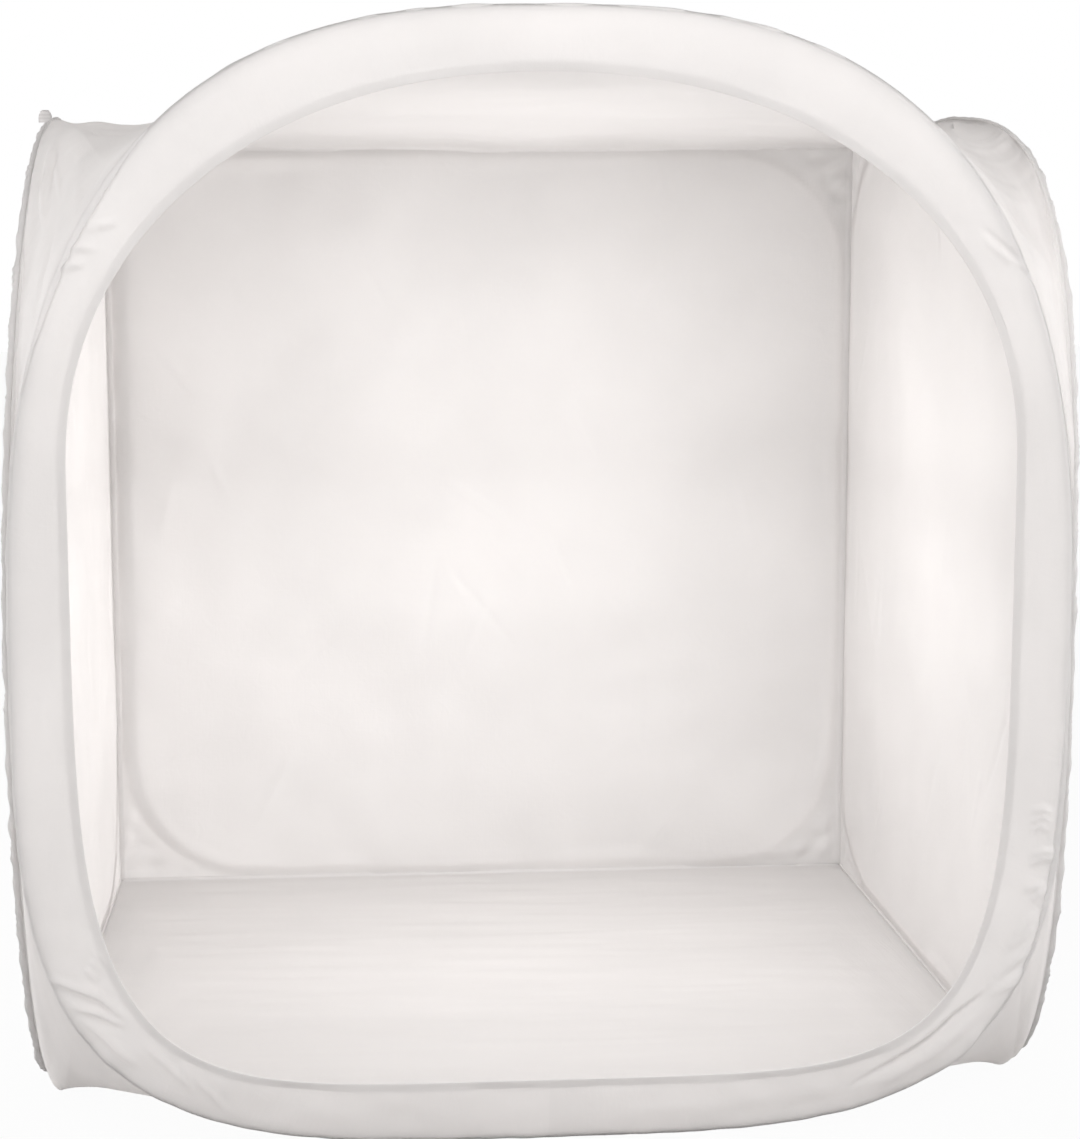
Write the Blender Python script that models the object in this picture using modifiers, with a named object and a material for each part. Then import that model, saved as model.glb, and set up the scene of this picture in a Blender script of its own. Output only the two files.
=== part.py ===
"""Pop-up light tent cube: white fabric walls on four spring-steel hoops, standing open.

Metres, +Z up, the opening faces -Y. The origin is on the floor under the middle of the tent.
"""

import math

import bmesh
import bpy
from mathutils import Vector

# Tent, inside the fabric
BACK_WIDTH = 1.500
BACK_HEIGHT = 1.500
DEPTH = 1.520
FRONT_WIDTH = 1.596
FRONT_HEIGHT = 1.555

# Front ring, over its sleeve: widest at the waist, rounder above it and squarer below
RING_WIDTH = 1.606
RING_HEIGHT = 1.720
RING_WAIST = 0.760
RING_TOP_POWER = 2.67
RING_FOOT_POWER = 3.69

# Opening in the front band
OPENING_WIDTH = 1.424
OPENING_FOOT = 0.103
OPENING_TOP = 1.625
OPENING_WAIST = 1.040
OPENING_TOP_POWER = 2.15
OPENING_FOOT_POWER = 4.90
OPENING_SET_BACK = 0.010

# Fabric, and the gap that neighbouring pieces keep
FABRIC = 0.0015
GAP = 0.0005

# Hoop sleeves are flat tubes that lie along their wall
SLEEVE_WIDTH = 0.020
SLEEVE_FLAT = 0.0112
SLEEVE_DEPTH = 0.012
SLEEVE_WALL = 0.0012
SLEEVE_INSET = 0.004
MOUTH = 0.070
SIDE_MOUTH_FROM_FOLD = 0.280

# Hoops are flat spring steel, bent about its thin side
STEEL_WIDTH = 0.006
STEEL_THICKNESS = 0.0012
FERRULE_LENGTH = 0.050
FERRULE_WALL = 0.0008
HOOP_CORNER = 0.250

# Each side wall has square corners at the back and springs into one long bow at the front
LEFT = -1
RIGHT = 1
BOW_WAIST = 0.700
BOW_TOP_POWER = {LEFT: 1.95, RIGHT: 3.40}
BOW_FOOT_POWER = {LEFT: 1.85, RIGHT: 2.45}
BOW_FOOT_REACH = 0.370
BOW_AHEAD_OF_FOLD = 0.020

# Heights at which the roof and the floor leave the side walls and follow the ring
ROOF_JOINS_RING = {LEFT: 0.750, RIGHT: 0.900}
FLOOR_JOINS_RING = {LEFT: 0.600, RIGHT: 0.520}
RING_SEAM_INSET = 0.007
ROOF_SAG = 0.018
ROOF_BACK_SAG = 0.006
FLOOR_LIFT_REACH = 0.350

# How far out the ring is where the panel's far edge reaches the bow's end and the back
ROOF_RUNS = (0.620, 0.430)
FLOOR_RUNS = (0.720, 0.430)

TAPE_WIDTH = 0.006
TAPE_THICKNESS = 0.0012
HEM_RADIUS = 0.0025
LOOP_WIDTH = 0.022
LOOP_HEIGHT = 0.020
LOOP_HALF_OPEN = 0.004
LOOP_SETBACK = 0.720

# Fold: the side walls fold inwards at half depth
FOLD_LIMIT = math.radians(80)
FOLD_AXIS_OUT = 0.024

# How finely the surfaces are divided
RING_STEPS = 72
BAND_ROWS = 3
CORNER_STEPS = 8
BOW_STEPS = 22
BOW_SAMPLES = 720
WALL_ROWS = 6
WALL_FRONT_ROWS = 4
BACK_COLUMNS = 8
ROOF_ROWS = 6
FLOOR_ROWS = 8
SIDE_EDGE_STEPS = 4
BACK_EDGE_STEPS = 4
LOOP_STEPS = 8
HEM_SIDES = 6
SHARP_ANGLE = math.radians(40)
MERGE = 0.00001

WALL_SKIN = FABRIC + GAP
SLEEVE_OFFSET = WALL_SKIN + SLEEVE_DEPTH / 2
RING_Y = -(SLEEVE_DEPTH / 2 + DEPTH + WALL_SKIN + SLEEVE_DEPTH) / 2 + SLEEVE_DEPTH / 2
BACK_Y = RING_Y + DEPTH
SIDE_START_Y = BACK_Y - GAP
ROOF_FRONT_Y = RING_Y + SLEEVE_DEPTH / 2 + 3 * GAP
SIDE_END_Y = ROOF_FRONT_Y + GAP
EDGE_DROP = GAP
SIDE_LENGTH = math.hypot((FRONT_WIDTH - BACK_WIDTH) / 2, SIDE_START_Y - SIDE_END_Y)

WHITE_CLOTH = ("diffusion_cloth", (0.86, 0.85, 0.85, 1.0), 0.85, 0.0)
SLEEVE_CLOTH = ("sleeve_cloth", (0.83, 0.82, 0.82, 1.0), 0.85, 0.0)
TAPE_CLOTH = ("seam_tape", (0.80, 0.79, 0.79, 1.0), 0.9, 0.0)
SPRING_STEEL = ("spring_steel", (0.42, 0.43, 0.45, 1.0), 0.35, 1.0)
CRIMPED_STEEL = ("crimped_steel", (0.55, 0.56, 0.58, 1.0), 0.4, 1.0)


def clear_scene():
    for obj in list(bpy.data.objects):
        bpy.data.objects.remove(obj, do_unlink=True)


def material(look):
    name, color, roughness, metallic = look
    made = bpy.data.materials.get(name)
    if made is None:
        made = bpy.data.materials.new(name)
        made.use_nodes = True
        shader = made.node_tree.nodes["Principled BSDF"]
        shader.inputs["Base Color"].default_value = color
        shader.inputs["Roughness"].default_value = roughness
        shader.inputs["Metallic"].default_value = metallic
    return made


def place(name, bm, look, pivot=None):
    """Makes the object, with its mesh in the pivot's own space where it hangs from one."""
    if pivot:
        bmesh.ops.translate(bm, vec=-standing_at(pivot), verts=bm.verts)
    mesh = bpy.data.meshes.new(name)
    bm.to_mesh(mesh)
    bm.free()
    mesh.materials.append(material(look))
    mesh.shade_smooth()
    mesh.set_sharp_from_angle(angle=SHARP_ANGLE)
    obj = bpy.data.objects.new(name, mesh)
    obj.parent = pivot
    bpy.data.collections["light_tent_cube"].objects.link(obj)
    return obj


def pivot_at(name, location, parent=None):
    """An empty on a fold's vertical axis, which carries what turns about it."""
    pivot = bpy.data.objects.new(name, None)
    pivot.parent = parent
    pivot.location = location - standing_at(parent)
    pivot.empty_display_size = 0.1
    bpy.data.collections["light_tent_cube"].objects.link(pivot)
    return pivot


def standing_at(pivot):
    """A pivot's place in the tent: each hangs from the one before it, and none is turned."""
    return pivot.location + standing_at(pivot.parent) if pivot else Vector((0, 0, 0))


def thicken(obj, thickness, outward):
    solid = obj.modifiers.new("cloth thickness", "SOLIDIFY")
    solid.thickness = thickness
    solid.offset = 1 if outward else -1
    solid.use_even_offset = True
    return obj


# Paths


def lengths(path):
    total = [0.0]
    for start, end in zip(path, path[1:]):
        total.append(total[-1] + (end - start).length)
    return total


def resample(path, count):
    """The path again as count equal steps, so count + 1 points."""
    marks = lengths(path)
    points = []
    step = 0
    for index in range(count + 1):
        target = marks[-1] * index / count
        while step < len(path) - 2 and marks[step + 1] < target:
            step += 1
        share = (target - marks[step]) / (marks[step + 1] - marks[step])
        points.append(path[step].lerp(path[step + 1], min(max(share, 0.0), 1.0)))
    return points


def oval(width, foot, top, waist, foot_power, top_power, y, steps=720):
    """A closed superellipse from the foot's middle round by +X, its power changing at the waist."""
    points = []
    for index in range(steps + 1):
        angle = 2 * math.pi * index / steps - math.pi / 2
        across, up = math.cos(angle), math.sin(angle)
        height, power = (top - waist, top_power) if up > 0 else (waist - foot, foot_power)
        x = math.copysign(abs(across) ** (2 / power), across) * width / 2
        z = waist + math.copysign(abs(up) ** (2 / power), up) * height
        points.append(Vector((x, y, z)))
    return points


def ring(inset, y):
    """The front ring's outline, moved in from the outside of its sleeve."""
    return oval(
        RING_WIDTH - 2 * inset, inset, RING_HEIGHT - inset, RING_WAIST, RING_FOOT_POWER, RING_TOP_POWER, y
    )


def opening(grow, y):
    return oval(
        OPENING_WIDTH + 2 * grow,
        OPENING_FOOT - grow,
        OPENING_TOP + grow,
        OPENING_WAIST,
        OPENING_FOOT_POWER,
        OPENING_TOP_POWER,
        y,
    )


def corner(centre, radius, start):
    """A quarter circle in plane coordinates, anticlockwise from the start angle in degrees."""
    angles = (math.radians(start + 90 * index / CORNER_STEPS) for index in range(CORNER_STEPS + 1))
    return [
        (centre[0] + radius * math.cos(angle), centre[1] + radius * math.sin(angle)) for angle in angles
    ]


def side_point(side, along, up, out=0.0):
    """A point of the left (-1) or right (+1) wall: along from the back, up, and out from its inner face."""
    spread = (FRONT_WIDTH - BACK_WIDTH) / 2 / SIDE_LENGTH
    run = (SIDE_START_Y - SIDE_END_Y) / SIDE_LENGTH
    x = BACK_WIDTH / 2 + spread * along + run * out
    y = SIDE_START_Y - run * along + spread * out
    return Vector((side * x, y, up))


def wall_top(along):
    """The top edge rises evenly from the back as far as the bow."""
    return BACK_HEIGHT + (FRONT_HEIGHT - BACK_HEIGHT) * along / (fold_along() + BOW_AHEAD_OF_FOLD)


def bow(side, inset=0.0):
    """A side wall's front curve in (along, up), moved in from its edge: from the floor round to the top."""
    above = FRONT_HEIGHT - EDGE_DROP - inset - BOW_WAIST
    below = EDGE_DROP + inset - BOW_WAIST
    top_reach = SIDE_LENGTH - fold_along() - BOW_AHEAD_OF_FOLD
    points = []
    for index in range(-BOW_SAMPLES, BOW_SAMPLES + 1):
        angle = math.pi / 2 * index / BOW_SAMPLES
        if index > 0:
            reach, rise, power = top_reach, above, BOW_TOP_POWER[side]
        else:
            reach, rise, power = BOW_FOOT_REACH, below, BOW_FOOT_POWER[side]
        ahead = max(math.cos(angle), 0.0) ** (2 / power) * (reach - inset)
        up = abs(math.sin(angle)) ** (2 / power) * rise
        points.append(Vector((SIDE_LENGTH - reach + ahead, BOW_WAIST + up)))
    return [tuple(point) for point in resample(points, BOW_STEPS)]


def side_hoop(side):
    """The side hoop's closed path in (along, up), from the floor behind the fold towards the front."""
    inset = SLEEVE_INSET + SLEEVE_WIDTH / 2
    near = inset + HOOP_CORNER
    path = [(fold_along() / 2, EDGE_DROP + inset)]
    path += bow(side, inset)
    path += corner((near, wall_top(near) - EDGE_DROP - near), HOOP_CORNER, 90)
    path += corner((near, EDGE_DROP + near), HOOP_CORNER, 180)
    return path + path[:1]


def split_at(path, along):
    """The parts of a closed side path behind and ahead of a fold line: both run upwards from the floor."""
    behind, ahead = [], []
    for start, end in zip(path, path[1:]):
        (ahead if start[0] >= along else behind).append(start)
        if (start[0] - along) * (end[0] - along) < 0:
            share = (along - start[0]) / (end[0] - start[0])
            crossing = (along, start[1] + share * (end[1] - start[1]))
            behind.append(crossing)
            ahead.append(crossing)
    return in_order(behind, along), in_order(ahead, along)


def in_order(points, along):
    """Turns a cut loop so that it starts at its low crossing and ends at its high one."""
    crossings = sorted((p for p in points if p[0] == along), key=lambda p: p[1])
    first = points.index(crossings[0])
    turned = points[first:] + points[:first]
    if turned[-1] != crossings[-1]:
        turned = turned[:1] + turned[:0:-1]
    return turned


# Surfaces


def outwards(bm, away_from):
    """Turns the faces so that they point away from a place inside the tent."""
    bmesh.ops.recalc_face_normals(bm, faces=bm.faces)
    facing = sum((f.calc_center_median() - away_from).dot(f.normal) * f.calc_area() for f in bm.faces)
    if facing < 0:
        bmesh.ops.reverse_faces(bm, faces=bm.faces)


def skin(near, far, rows, shape=None):
    """A sheet from one row of points to another. shape(share, point, index) moves a point on the way."""
    bm = bmesh.new()
    columns = len(near) - 1
    bmesh.ops.create_grid(bm, x_segments=columns, y_segments=rows, size=1)
    for vert in bm.verts:
        index = round((vert.co.x + 1) / 2 * columns)
        share = (vert.co.y + 1) / 2
        point = near[index].lerp(far[index], share)
        vert.co = shape(share, point, index) if shape else point
    bmesh.ops.remove_doubles(bm, verts=bm.verts, dist=MERGE)
    return bm


def sweep(path, normal, profile, closed=False):
    """A tube of the given profile along a flat path. Profile points are (in its plane, along the normal)."""
    bm = bmesh.new()
    count = len(path)
    columns = count if closed else count - 1
    rows = len(profile)
    bmesh.ops.create_grid(bm, x_segments=columns, y_segments=rows, size=1)
    for vert in bm.verts:
        index = round((vert.co.x + 1) / 2 * columns)
        around = round((vert.co.y + 1) / 2 * rows) % rows
        here = path[index % count]
        if closed:
            before, after = path[(index - 1) % count], path[(index + 1) % count]
        else:
            before, after = path[max(index - 1, 0)], path[min(index + 1, count - 1)]
        across = (after - before).cross(normal).normalized()
        vert.co = here + across * profile[around][0] + normal * profile[around][1]
    bmesh.ops.remove_doubles(bm, verts=bm.verts, dist=MERGE)
    bmesh.ops.recalc_face_normals(bm, faces=bm.faces)
    centre = path[0].lerp(path[1], 0.5)
    nearest = min(bm.faces, key=lambda f: (f.calc_center_median() - centre).length)
    if (nearest.calc_center_median() - centre).dot(nearest.normal) < 0:
        bmesh.ops.reverse_faces(bm, faces=bm.faces)
    return bm


def cap_ends(bm):
    bmesh.ops.holes_fill(bm, edges=[edge for edge in bm.edges if edge.is_boundary])
    bmesh.ops.recalc_face_normals(bm, faces=bm.faces)
    return bm


def block_profile(width, depth):
    wide, deep = width / 2, depth / 2
    return [(-wide, -deep), (wide, -deep), (wide, deep), (-wide, deep)]


def sleeve_profile():
    """Six-sided, flat against the wall, pinched at its two sewn edges."""
    wide, flat, deep = SLEEVE_WIDTH / 2, SLEEVE_FLAT / 2, SLEEVE_DEPTH / 2
    return [(-wide, 0), (-flat, -deep), (flat, -deep), (wide, 0), (flat, deep), (-flat, deep)]


def trim(path, length):
    """Takes a length off both ends of an open path."""
    marks = lengths(path)
    kept = [p for p, mark in zip(path, marks) if length < mark < marks[-1] - length]
    return [point_at(path, length)] + kept + [point_at(path, marks[-1] - length)]


def point_at(path, distance):
    marks = lengths(path)
    for index in range(len(path) - 1):
        if marks[index + 1] >= distance:
            share = (distance - marks[index]) / (marks[index + 1] - marks[index])
            return path[index].lerp(path[index + 1], share)
    return path[-1]


def sleeve(name, path, normal, pivot, closed=False):
    """A hollow fabric tube, open at both ends."""
    tube = place(name, sweep(path, normal, sleeve_profile(), closed), SLEEVE_CLOTH, pivot)
    return thicken(tube, SLEEVE_WALL, outward=False)


def hoop(name, path, normal, pivot):
    strip = sweep(path, normal, block_profile(STEEL_THICKNESS, STEEL_WIDTH))
    return place(name, cap_ends(strip), SPRING_STEEL, pivot)


def ferrule(name, middle, along, normal, pivot):
    """A flattened steel tube over the two ends of a hoop's strip."""
    half = along.normalized() * FERRULE_LENGTH / 2
    room = 2 * (FERRULE_WALL + GAP)
    profile = block_profile(STEEL_THICKNESS + room, STEEL_WIDTH + room)
    tube = place(name, sweep([middle - half, middle, middle + half], normal, profile), CRIMPED_STEEL, pivot)
    return thicken(tube, FERRULE_WALL, outward=False)


# Back wall


def back_panel():
    inside = Vector((0, 0, BACK_HEIGHT / 2))
    half = BACK_WIDTH / 2 + WALL_SKIN
    low, high = GAP, BACK_HEIGHT + FABRIC
    bottom = resample([Vector((-half, BACK_Y, low)), Vector((half, BACK_Y, low))], BACK_COLUMNS)
    top = [Vector((point.x, BACK_Y, high)) for point in bottom]
    bm = skin(bottom, top, BACK_COLUMNS)
    outwards(bm, inside)
    thicken(place("back_wall", bm, WHITE_CLOTH), FABRIC, outward=True)

    inset = TAPE_WIDTH + SLEEVE_WIDTH / 2 + 3 * GAP
    near = inset + HOOP_CORNER
    flat = [(0, low + inset)]
    for centre, start in (
        ((half - near, low + near), -90),
        ((half - near, high - near), 0),
        ((near - half, high - near), 90),
        ((near - half, low + near), 180),
    ):
        flat += corner(centre, HOOP_CORNER, start)
    flat += flat[:1]
    y = BACK_Y + SLEEVE_OFFSET
    path = [Vector((x, y, z)) for x, z in flat]
    normal = Vector((0, 1, 0))
    sleeve("back_channel", trim(path, MOUTH / 2), normal, None)
    hoop("back_hoop", trim(path, GAP), normal, None)
    ferrule("back_ferrule", path[0], Vector((1, 0, 0)), normal, None)
    back_seams(half, low, high)


def back_seams(half, low, high):
    """Bound seams round the outside of the back wall."""
    y = BACK_Y + WALL_SKIN + TAPE_THICKNESS / 2
    edge = TAPE_WIDTH / 2
    runs = {
        "back_seam_left": ((edge - half, low), (edge - half, high)),
        "back_seam_right": ((half - edge, low), (half - edge, high)),
        "back_seam_bottom": ((TAPE_WIDTH + GAP - half, low + edge), (half - TAPE_WIDTH - GAP, low + edge)),
        "back_seam_top": ((TAPE_WIDTH + GAP - half, high - edge), (half - TAPE_WIDTH - GAP, high - edge)),
    }
    for name, ((x0, z0), (x1, z1)) in runs.items():
        path = resample([Vector((x0, y, z0)), Vector((x1, y, z1))], 2)
        tape = sweep(path, Vector((0, 1, 0)), block_profile(TAPE_WIDTH, TAPE_THICKNESS))
        place(name, cap_ends(tape), TAPE_CLOTH)


# Side walls


def fold_along():
    """Where the side wall's fold line is, so that the ring meets both side walls again when folded flat."""
    spread = (FRONT_WIDTH - BACK_WIDTH) / 2
    shift = spread * (1 - math.cos(FOLD_LIMIT)) / math.sin(FOLD_LIMIT)
    return (SIDE_LENGTH - shift) / 2


def side_wall(side, name):
    """One side wall in two halves, which meet at the fold line."""
    fold = fold_along()
    rear = pivot_at(f"{name}_rear_pivot", side_point(side, 0, 0))
    front = pivot_at(f"{name}_front_pivot", side_point(side, fold, 0, FOLD_AXIS_OUT), rear)
    inside = Vector((0, 0, BACK_HEIGHT / 2))

    def edge(along, height_from, count):
        low, high = EDGE_DROP, wall_top(height_from) - EDGE_DROP
        return resample([side_point(side, along, low), side_point(side, along, high)], count)

    bm = skin(edge(0, 0, WALL_ROWS), edge(fold - GAP / 2, fold - GAP / 2, WALL_ROWS), WALL_ROWS)
    outwards(bm, inside)
    thicken(place(f"{name}_wall_rear", bm, WHITE_CLOTH, rear), FABRIC, outward=True)

    far = [side_point(side, along, up) for along, up in bow(side)]
    bm = skin(edge(fold + GAP / 2, fold, len(far) - 1), far, WALL_FRONT_ROWS)
    outwards(bm, inside)
    thicken(place(f"{name}_wall_front", bm, WHITE_CLOTH, front), FABRIC, outward=True)

    normal = (side_point(side, 0, 0, 1) - side_point(side, 0, 0)).normalized()
    behind, ahead = split_at(side_hoop(side), fold)
    rear_path = [side_point(side, along, up, SLEEVE_OFFSET) for along, up in behind]
    front_path = [side_point(side, along, up, SLEEVE_OFFSET) for along, up in ahead]
    sleeve(f"{name}_channel_front", trim(front_path, GAP), normal, front)
    hoop(f"{name}_hoop_front", trim(front_path, GAP), normal, front)
    hoop(f"{name}_hoop_rear", trim(rear_path, GAP), normal, rear)
    along = (rear_path[1] - rear_path[0]).normalized()
    mouth = point_at(rear_path, SIDE_MOUTH_FROM_FOLD)
    ferrule(f"{name}_ferrule", mouth, along, normal, rear)
    rear_sleeve(f"{name}_channel_rear", rear_path, mouth, along, normal, rear)
    return front


def rear_sleeve(name, path, mouth, along, normal, pivot):
    """The rear sleeve is one tube with a slot on its outer face at the ferrule, where the strip is fed in."""
    tube = sweep(trim(path, GAP), normal, sleeve_profile())
    for offset in (-MOUTH / 2, MOUTH / 2):
        bmesh.ops.bisect_plane(
            tube,
            geom=tube.verts[:] + tube.edges[:] + tube.faces[:],
            plane_co=mouth + along * offset,
            plane_no=along,
        )
    near = [face for face in tube.faces if (face.calc_center_median() - mouth).length < MOUTH / 2]
    outermost = max(near, key=lambda face: face.normal.dot(normal))
    bmesh.ops.delete(tube, geom=[outermost], context="FACES")
    thicken(place(name, tube, SLEEVE_CLOTH, pivot), SLEEVE_WALL, outward=False)


def corner_loop(pivot):
    """A folded webbing loop, sewn to the seam at the peak of the left wall."""
    along = SIDE_LENGTH - LOOP_SETBACK
    top = crossing(bow(LEFT), 0, along)
    out = 2 * WALL_SKIN + LOOP_WIDTH / 2
    base = side_point(LEFT, along, top[1] - SLEEVE_INSET + GAP, out)
    forward = (side_point(LEFT, 1, 0) - side_point(LEFT, 0, 0)).normalized()
    normal = (side_point(LEFT, 0, 0, 1) - side_point(LEFT, 0, 0)).normalized()
    path = [base - forward * LOOP_HALF_OPEN]
    for index in range(LOOP_STEPS + 1):
        angle = math.pi * index / LOOP_STEPS
        rise = Vector((0, 0, LOOP_HEIGHT - LOOP_HALF_OPEN * (1 - math.sin(angle))))
        path.append(base - forward * LOOP_HALF_OPEN * math.cos(angle) + rise)
    path.append(base + forward * LOOP_HALF_OPEN)
    loop = sweep(path, normal, block_profile(TAPE_THICKNESS, LOOP_WIDTH))
    place("corner_loop", cap_ends(loop), TAPE_CLOTH, pivot)


# Roof and floor


def ring_runs(side, start, upper, runs, edge_points):
    """Half of the ring's outline behind its sleeve, with as many points as the edge behind it."""
    outline = ring(RING_SEAM_INSET, ROOF_FRONT_Y)
    arc = [p for p in outline if p.x * side >= 0 and (p.z >= start if upper else p.z <= start)]
    arc.sort(key=lambda p: p.z - abs(p.x) if upper else -p.z - abs(p.x))
    points = arc[:1]
    for reach, count in zip(runs + (0.0,), (edge_points - 1, SIDE_EDGE_STEPS, BACK_EDGE_STEPS)):
        run = [points[-1]] + [p for p in arc if reach <= abs(p.x) < abs(points[-1].x)]
        points += resample(run, count)[1:]
    return points


def crossing(path, axis, value):
    """The last place of a flat path at which one of its coordinates passes a value."""
    for first, second in reversed(list(zip(path, path[1:]))):
        if (first[axis] - value) * (second[axis] - value) <= 0:
            share = (value - first[axis]) / (second[axis] - first[axis])
            return tuple(a + share * (b - a) for a, b in zip(first, second))
    raise ValueError("the path never gets there")


def wall_edge(side, start, upper):
    """A wall's edge, just inside it: from where the ring leaves it along its bow to the fold."""
    curve = bow(side, -EDGE_DROP)
    kept = [p for p in curve if (p[1] > start if upper else p[1] < start)]
    if not upper:
        kept.reverse()
    return [side_point(side, along, up, -WALL_SKIN) for along, up in [crossing(curve, 1, start)] + kept]


def round_the_back(side, edge, height, middle_height):
    """Goes on from the end of a wall's bow to the back corner, and across the back as far as the middle."""
    corner_back = side_point(side, 0, height, -WALL_SKIN)
    middle_back = Vector((0, corner_back.y, middle_height))
    along_side = resample([edge[-1], corner_back], SIDE_EDGE_STEPS)
    along_back = resample([corner_back, middle_back], BACK_EDGE_STEPS)
    return edge + along_side[1:] + along_back[1:]


def panel_edges(starts, upper, runs, height, middle_height):
    """The roof's or the floor's two edges, from left to right: at the ring, and round the walls."""
    near, far = [], []
    for side in (RIGHT, LEFT):
        edge = wall_edge(side, starts[side], upper)
        near = ring_runs(side, starts[side], upper, runs, len(edge)) + near[-2::-1]
        far = round_the_back(side, edge, height, middle_height) + far[-2::-1]
    return near, far


def roof_panel():
    """Ruled from the ring's arch to the side walls' top edges and the back wall's top edge."""
    near, far = panel_edges(ROOF_JOINS_RING, True, ROOF_RUNS, BACK_HEIGHT, BACK_HEIGHT - ROOF_BACK_SAG)

    def sagging(share, point, index):
        across = max(1 - (2 * point.x / BACK_WIDTH) ** 2, 0.0)
        return point - Vector((0, 0, ROOF_SAG * across * math.sin(math.pi * share)))

    bm = skin(near, far, ROOF_ROWS, sagging)
    outwards(bm, Vector((0, 0, BACK_HEIGHT / 2)))
    thicken(place("roof_panel", bm, WHITE_CLOTH), FABRIC, outward=False)


def floor_panel():
    """Flat on the ground, and lifted only where it joins the ring's foot."""
    near, far = panel_edges(FLOOR_JOINS_RING, False, FLOOR_RUNS, 0, 0)

    def dropped(share, point, index):
        reach = (far[index] - near[index]).length
        lifted = max(1 - share * max(reach / FLOOR_LIFT_REACH, 1), 0.0) ** 2
        return Vector((point.x, point.y, near[index].z * lifted + far[index].z * (1 - lifted)))

    bm = skin(near, far, FLOOR_ROWS, dropped)
    outwards(bm, Vector((0, 0, BACK_HEIGHT / 2)))
    thicken(place("floor_panel", bm, WHITE_CLOTH), FABRIC, outward=False)


# Front


def front_panel(carrier):
    pivot = pivot_at("front_pivot", side_point(LEFT, SIDE_LENGTH, 0), carrier)
    normal = Vector((0, -1, 0))
    path = resample(ring(SLEEVE_WIDTH / 2, RING_Y), RING_STEPS)
    sleeve("front_channel", trim(path, MOUTH / 2), normal, pivot)
    hoop("front_hoop", trim(path, GAP), normal, pivot)
    ferrule("front_ferrule", path[0], Vector((1, 0, 0)), normal, pivot)

    outer = resample(ring(SLEEVE_WIDTH + GAP, RING_Y), RING_STEPS)
    inner = resample(opening(GAP, RING_Y + OPENING_SET_BACK), RING_STEPS)
    bm = skin(outer, inner, BAND_ROWS)
    bmesh.ops.recalc_face_normals(bm, faces=bm.faces)
    thicken(place("front_band", bm, WHITE_CLOTH, pivot), FABRIC, outward=False)

    turns = (2 * math.pi * side / HEM_SIDES for side in range(HEM_SIDES))
    hem_profile = [(HEM_RADIUS * math.cos(turn), HEM_RADIUS * math.sin(turn)) for turn in turns]
    hem_path = resample(opening(-HEM_RADIUS - GAP, RING_Y + OPENING_SET_BACK), RING_STEPS)[:-1]
    hem = sweep(hem_path, normal, hem_profile, closed=True)
    bmesh.ops.recalc_face_normals(hem, faces=hem.faces)
    place("opening_hem", hem, TAPE_CLOTH, pivot)


def main():
    clear_scene()
    collection = bpy.data.collections.new("light_tent_cube")
    bpy.context.scene.collection.children.link(collection)
    back_panel()
    left_front = side_wall(LEFT, "left")
    side_wall(RIGHT, "right")
    corner_loop(left_front)
    roof_panel()
    floor_panel()
    front_panel(left_front)


main()
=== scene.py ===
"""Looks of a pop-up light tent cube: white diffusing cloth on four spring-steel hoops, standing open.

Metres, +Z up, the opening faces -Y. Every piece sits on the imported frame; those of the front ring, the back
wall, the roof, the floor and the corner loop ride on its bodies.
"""

import math

import bpy
import numpy as np
from bpy.props import FloatProperty, FloatVectorProperty, PointerProperty, StringProperty
from bpy.types import Operator, Panel, PropertyGroup
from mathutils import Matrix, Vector


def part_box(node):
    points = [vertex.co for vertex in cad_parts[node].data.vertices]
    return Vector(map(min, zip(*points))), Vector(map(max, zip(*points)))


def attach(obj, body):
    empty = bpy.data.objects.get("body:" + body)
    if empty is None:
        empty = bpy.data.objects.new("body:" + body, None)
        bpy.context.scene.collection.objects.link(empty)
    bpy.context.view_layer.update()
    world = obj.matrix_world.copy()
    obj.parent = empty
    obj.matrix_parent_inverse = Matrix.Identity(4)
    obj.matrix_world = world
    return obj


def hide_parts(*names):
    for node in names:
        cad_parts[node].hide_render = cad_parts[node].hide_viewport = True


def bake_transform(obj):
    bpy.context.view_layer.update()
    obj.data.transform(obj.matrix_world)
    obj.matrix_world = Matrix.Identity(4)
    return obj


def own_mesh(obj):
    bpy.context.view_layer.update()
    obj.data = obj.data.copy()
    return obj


bl_info = {
    "name": "Light Tent Cube",
    "version": (1, 0, 0),
    "blender": (4, 5, 0),
    "location": "3D View > Sidebar > Light Tent",
    "description": "Builds the cloth, seams and steel of a folding light tent cube",
    "category": "Add Mesh",
}

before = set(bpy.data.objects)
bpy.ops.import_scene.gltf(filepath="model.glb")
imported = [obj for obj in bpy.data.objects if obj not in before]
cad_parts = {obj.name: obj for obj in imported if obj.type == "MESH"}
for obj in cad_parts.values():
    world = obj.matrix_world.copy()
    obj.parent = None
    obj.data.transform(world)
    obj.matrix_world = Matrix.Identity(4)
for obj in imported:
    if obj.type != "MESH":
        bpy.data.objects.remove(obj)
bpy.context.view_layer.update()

# The frame's cloth is 1.5 mm thick, and pieces that are sewn together are drawn 0.5 mm apart
FRAME_CLOTH = 0.0015
GAP = 0.0005
SKIN = FRAME_CLOTH + GAP
CLOTH_MIDDLE = FRAME_CLOTH / 2

# Planes and edges that the frame gives
RING_LOW, RING_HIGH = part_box("front_channel")
BACK_LOW, BACK_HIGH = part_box("back_wall")
OPENING_LOW, OPENING_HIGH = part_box("opening_hem")
RING_WIDTH = RING_HIGH.x - RING_LOW.x
RING_HEIGHT = RING_HIGH.z
RING_Y = (RING_LOW.y + RING_HIGH.y) / 2
BACK_HALF = BACK_HIGH.x - SKIN
BACK_HEIGHT = BACK_HIGH.z - FRAME_CLOTH
BACK_Y = BACK_LOW.y
DEPTH = BACK_Y - RING_Y

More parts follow.
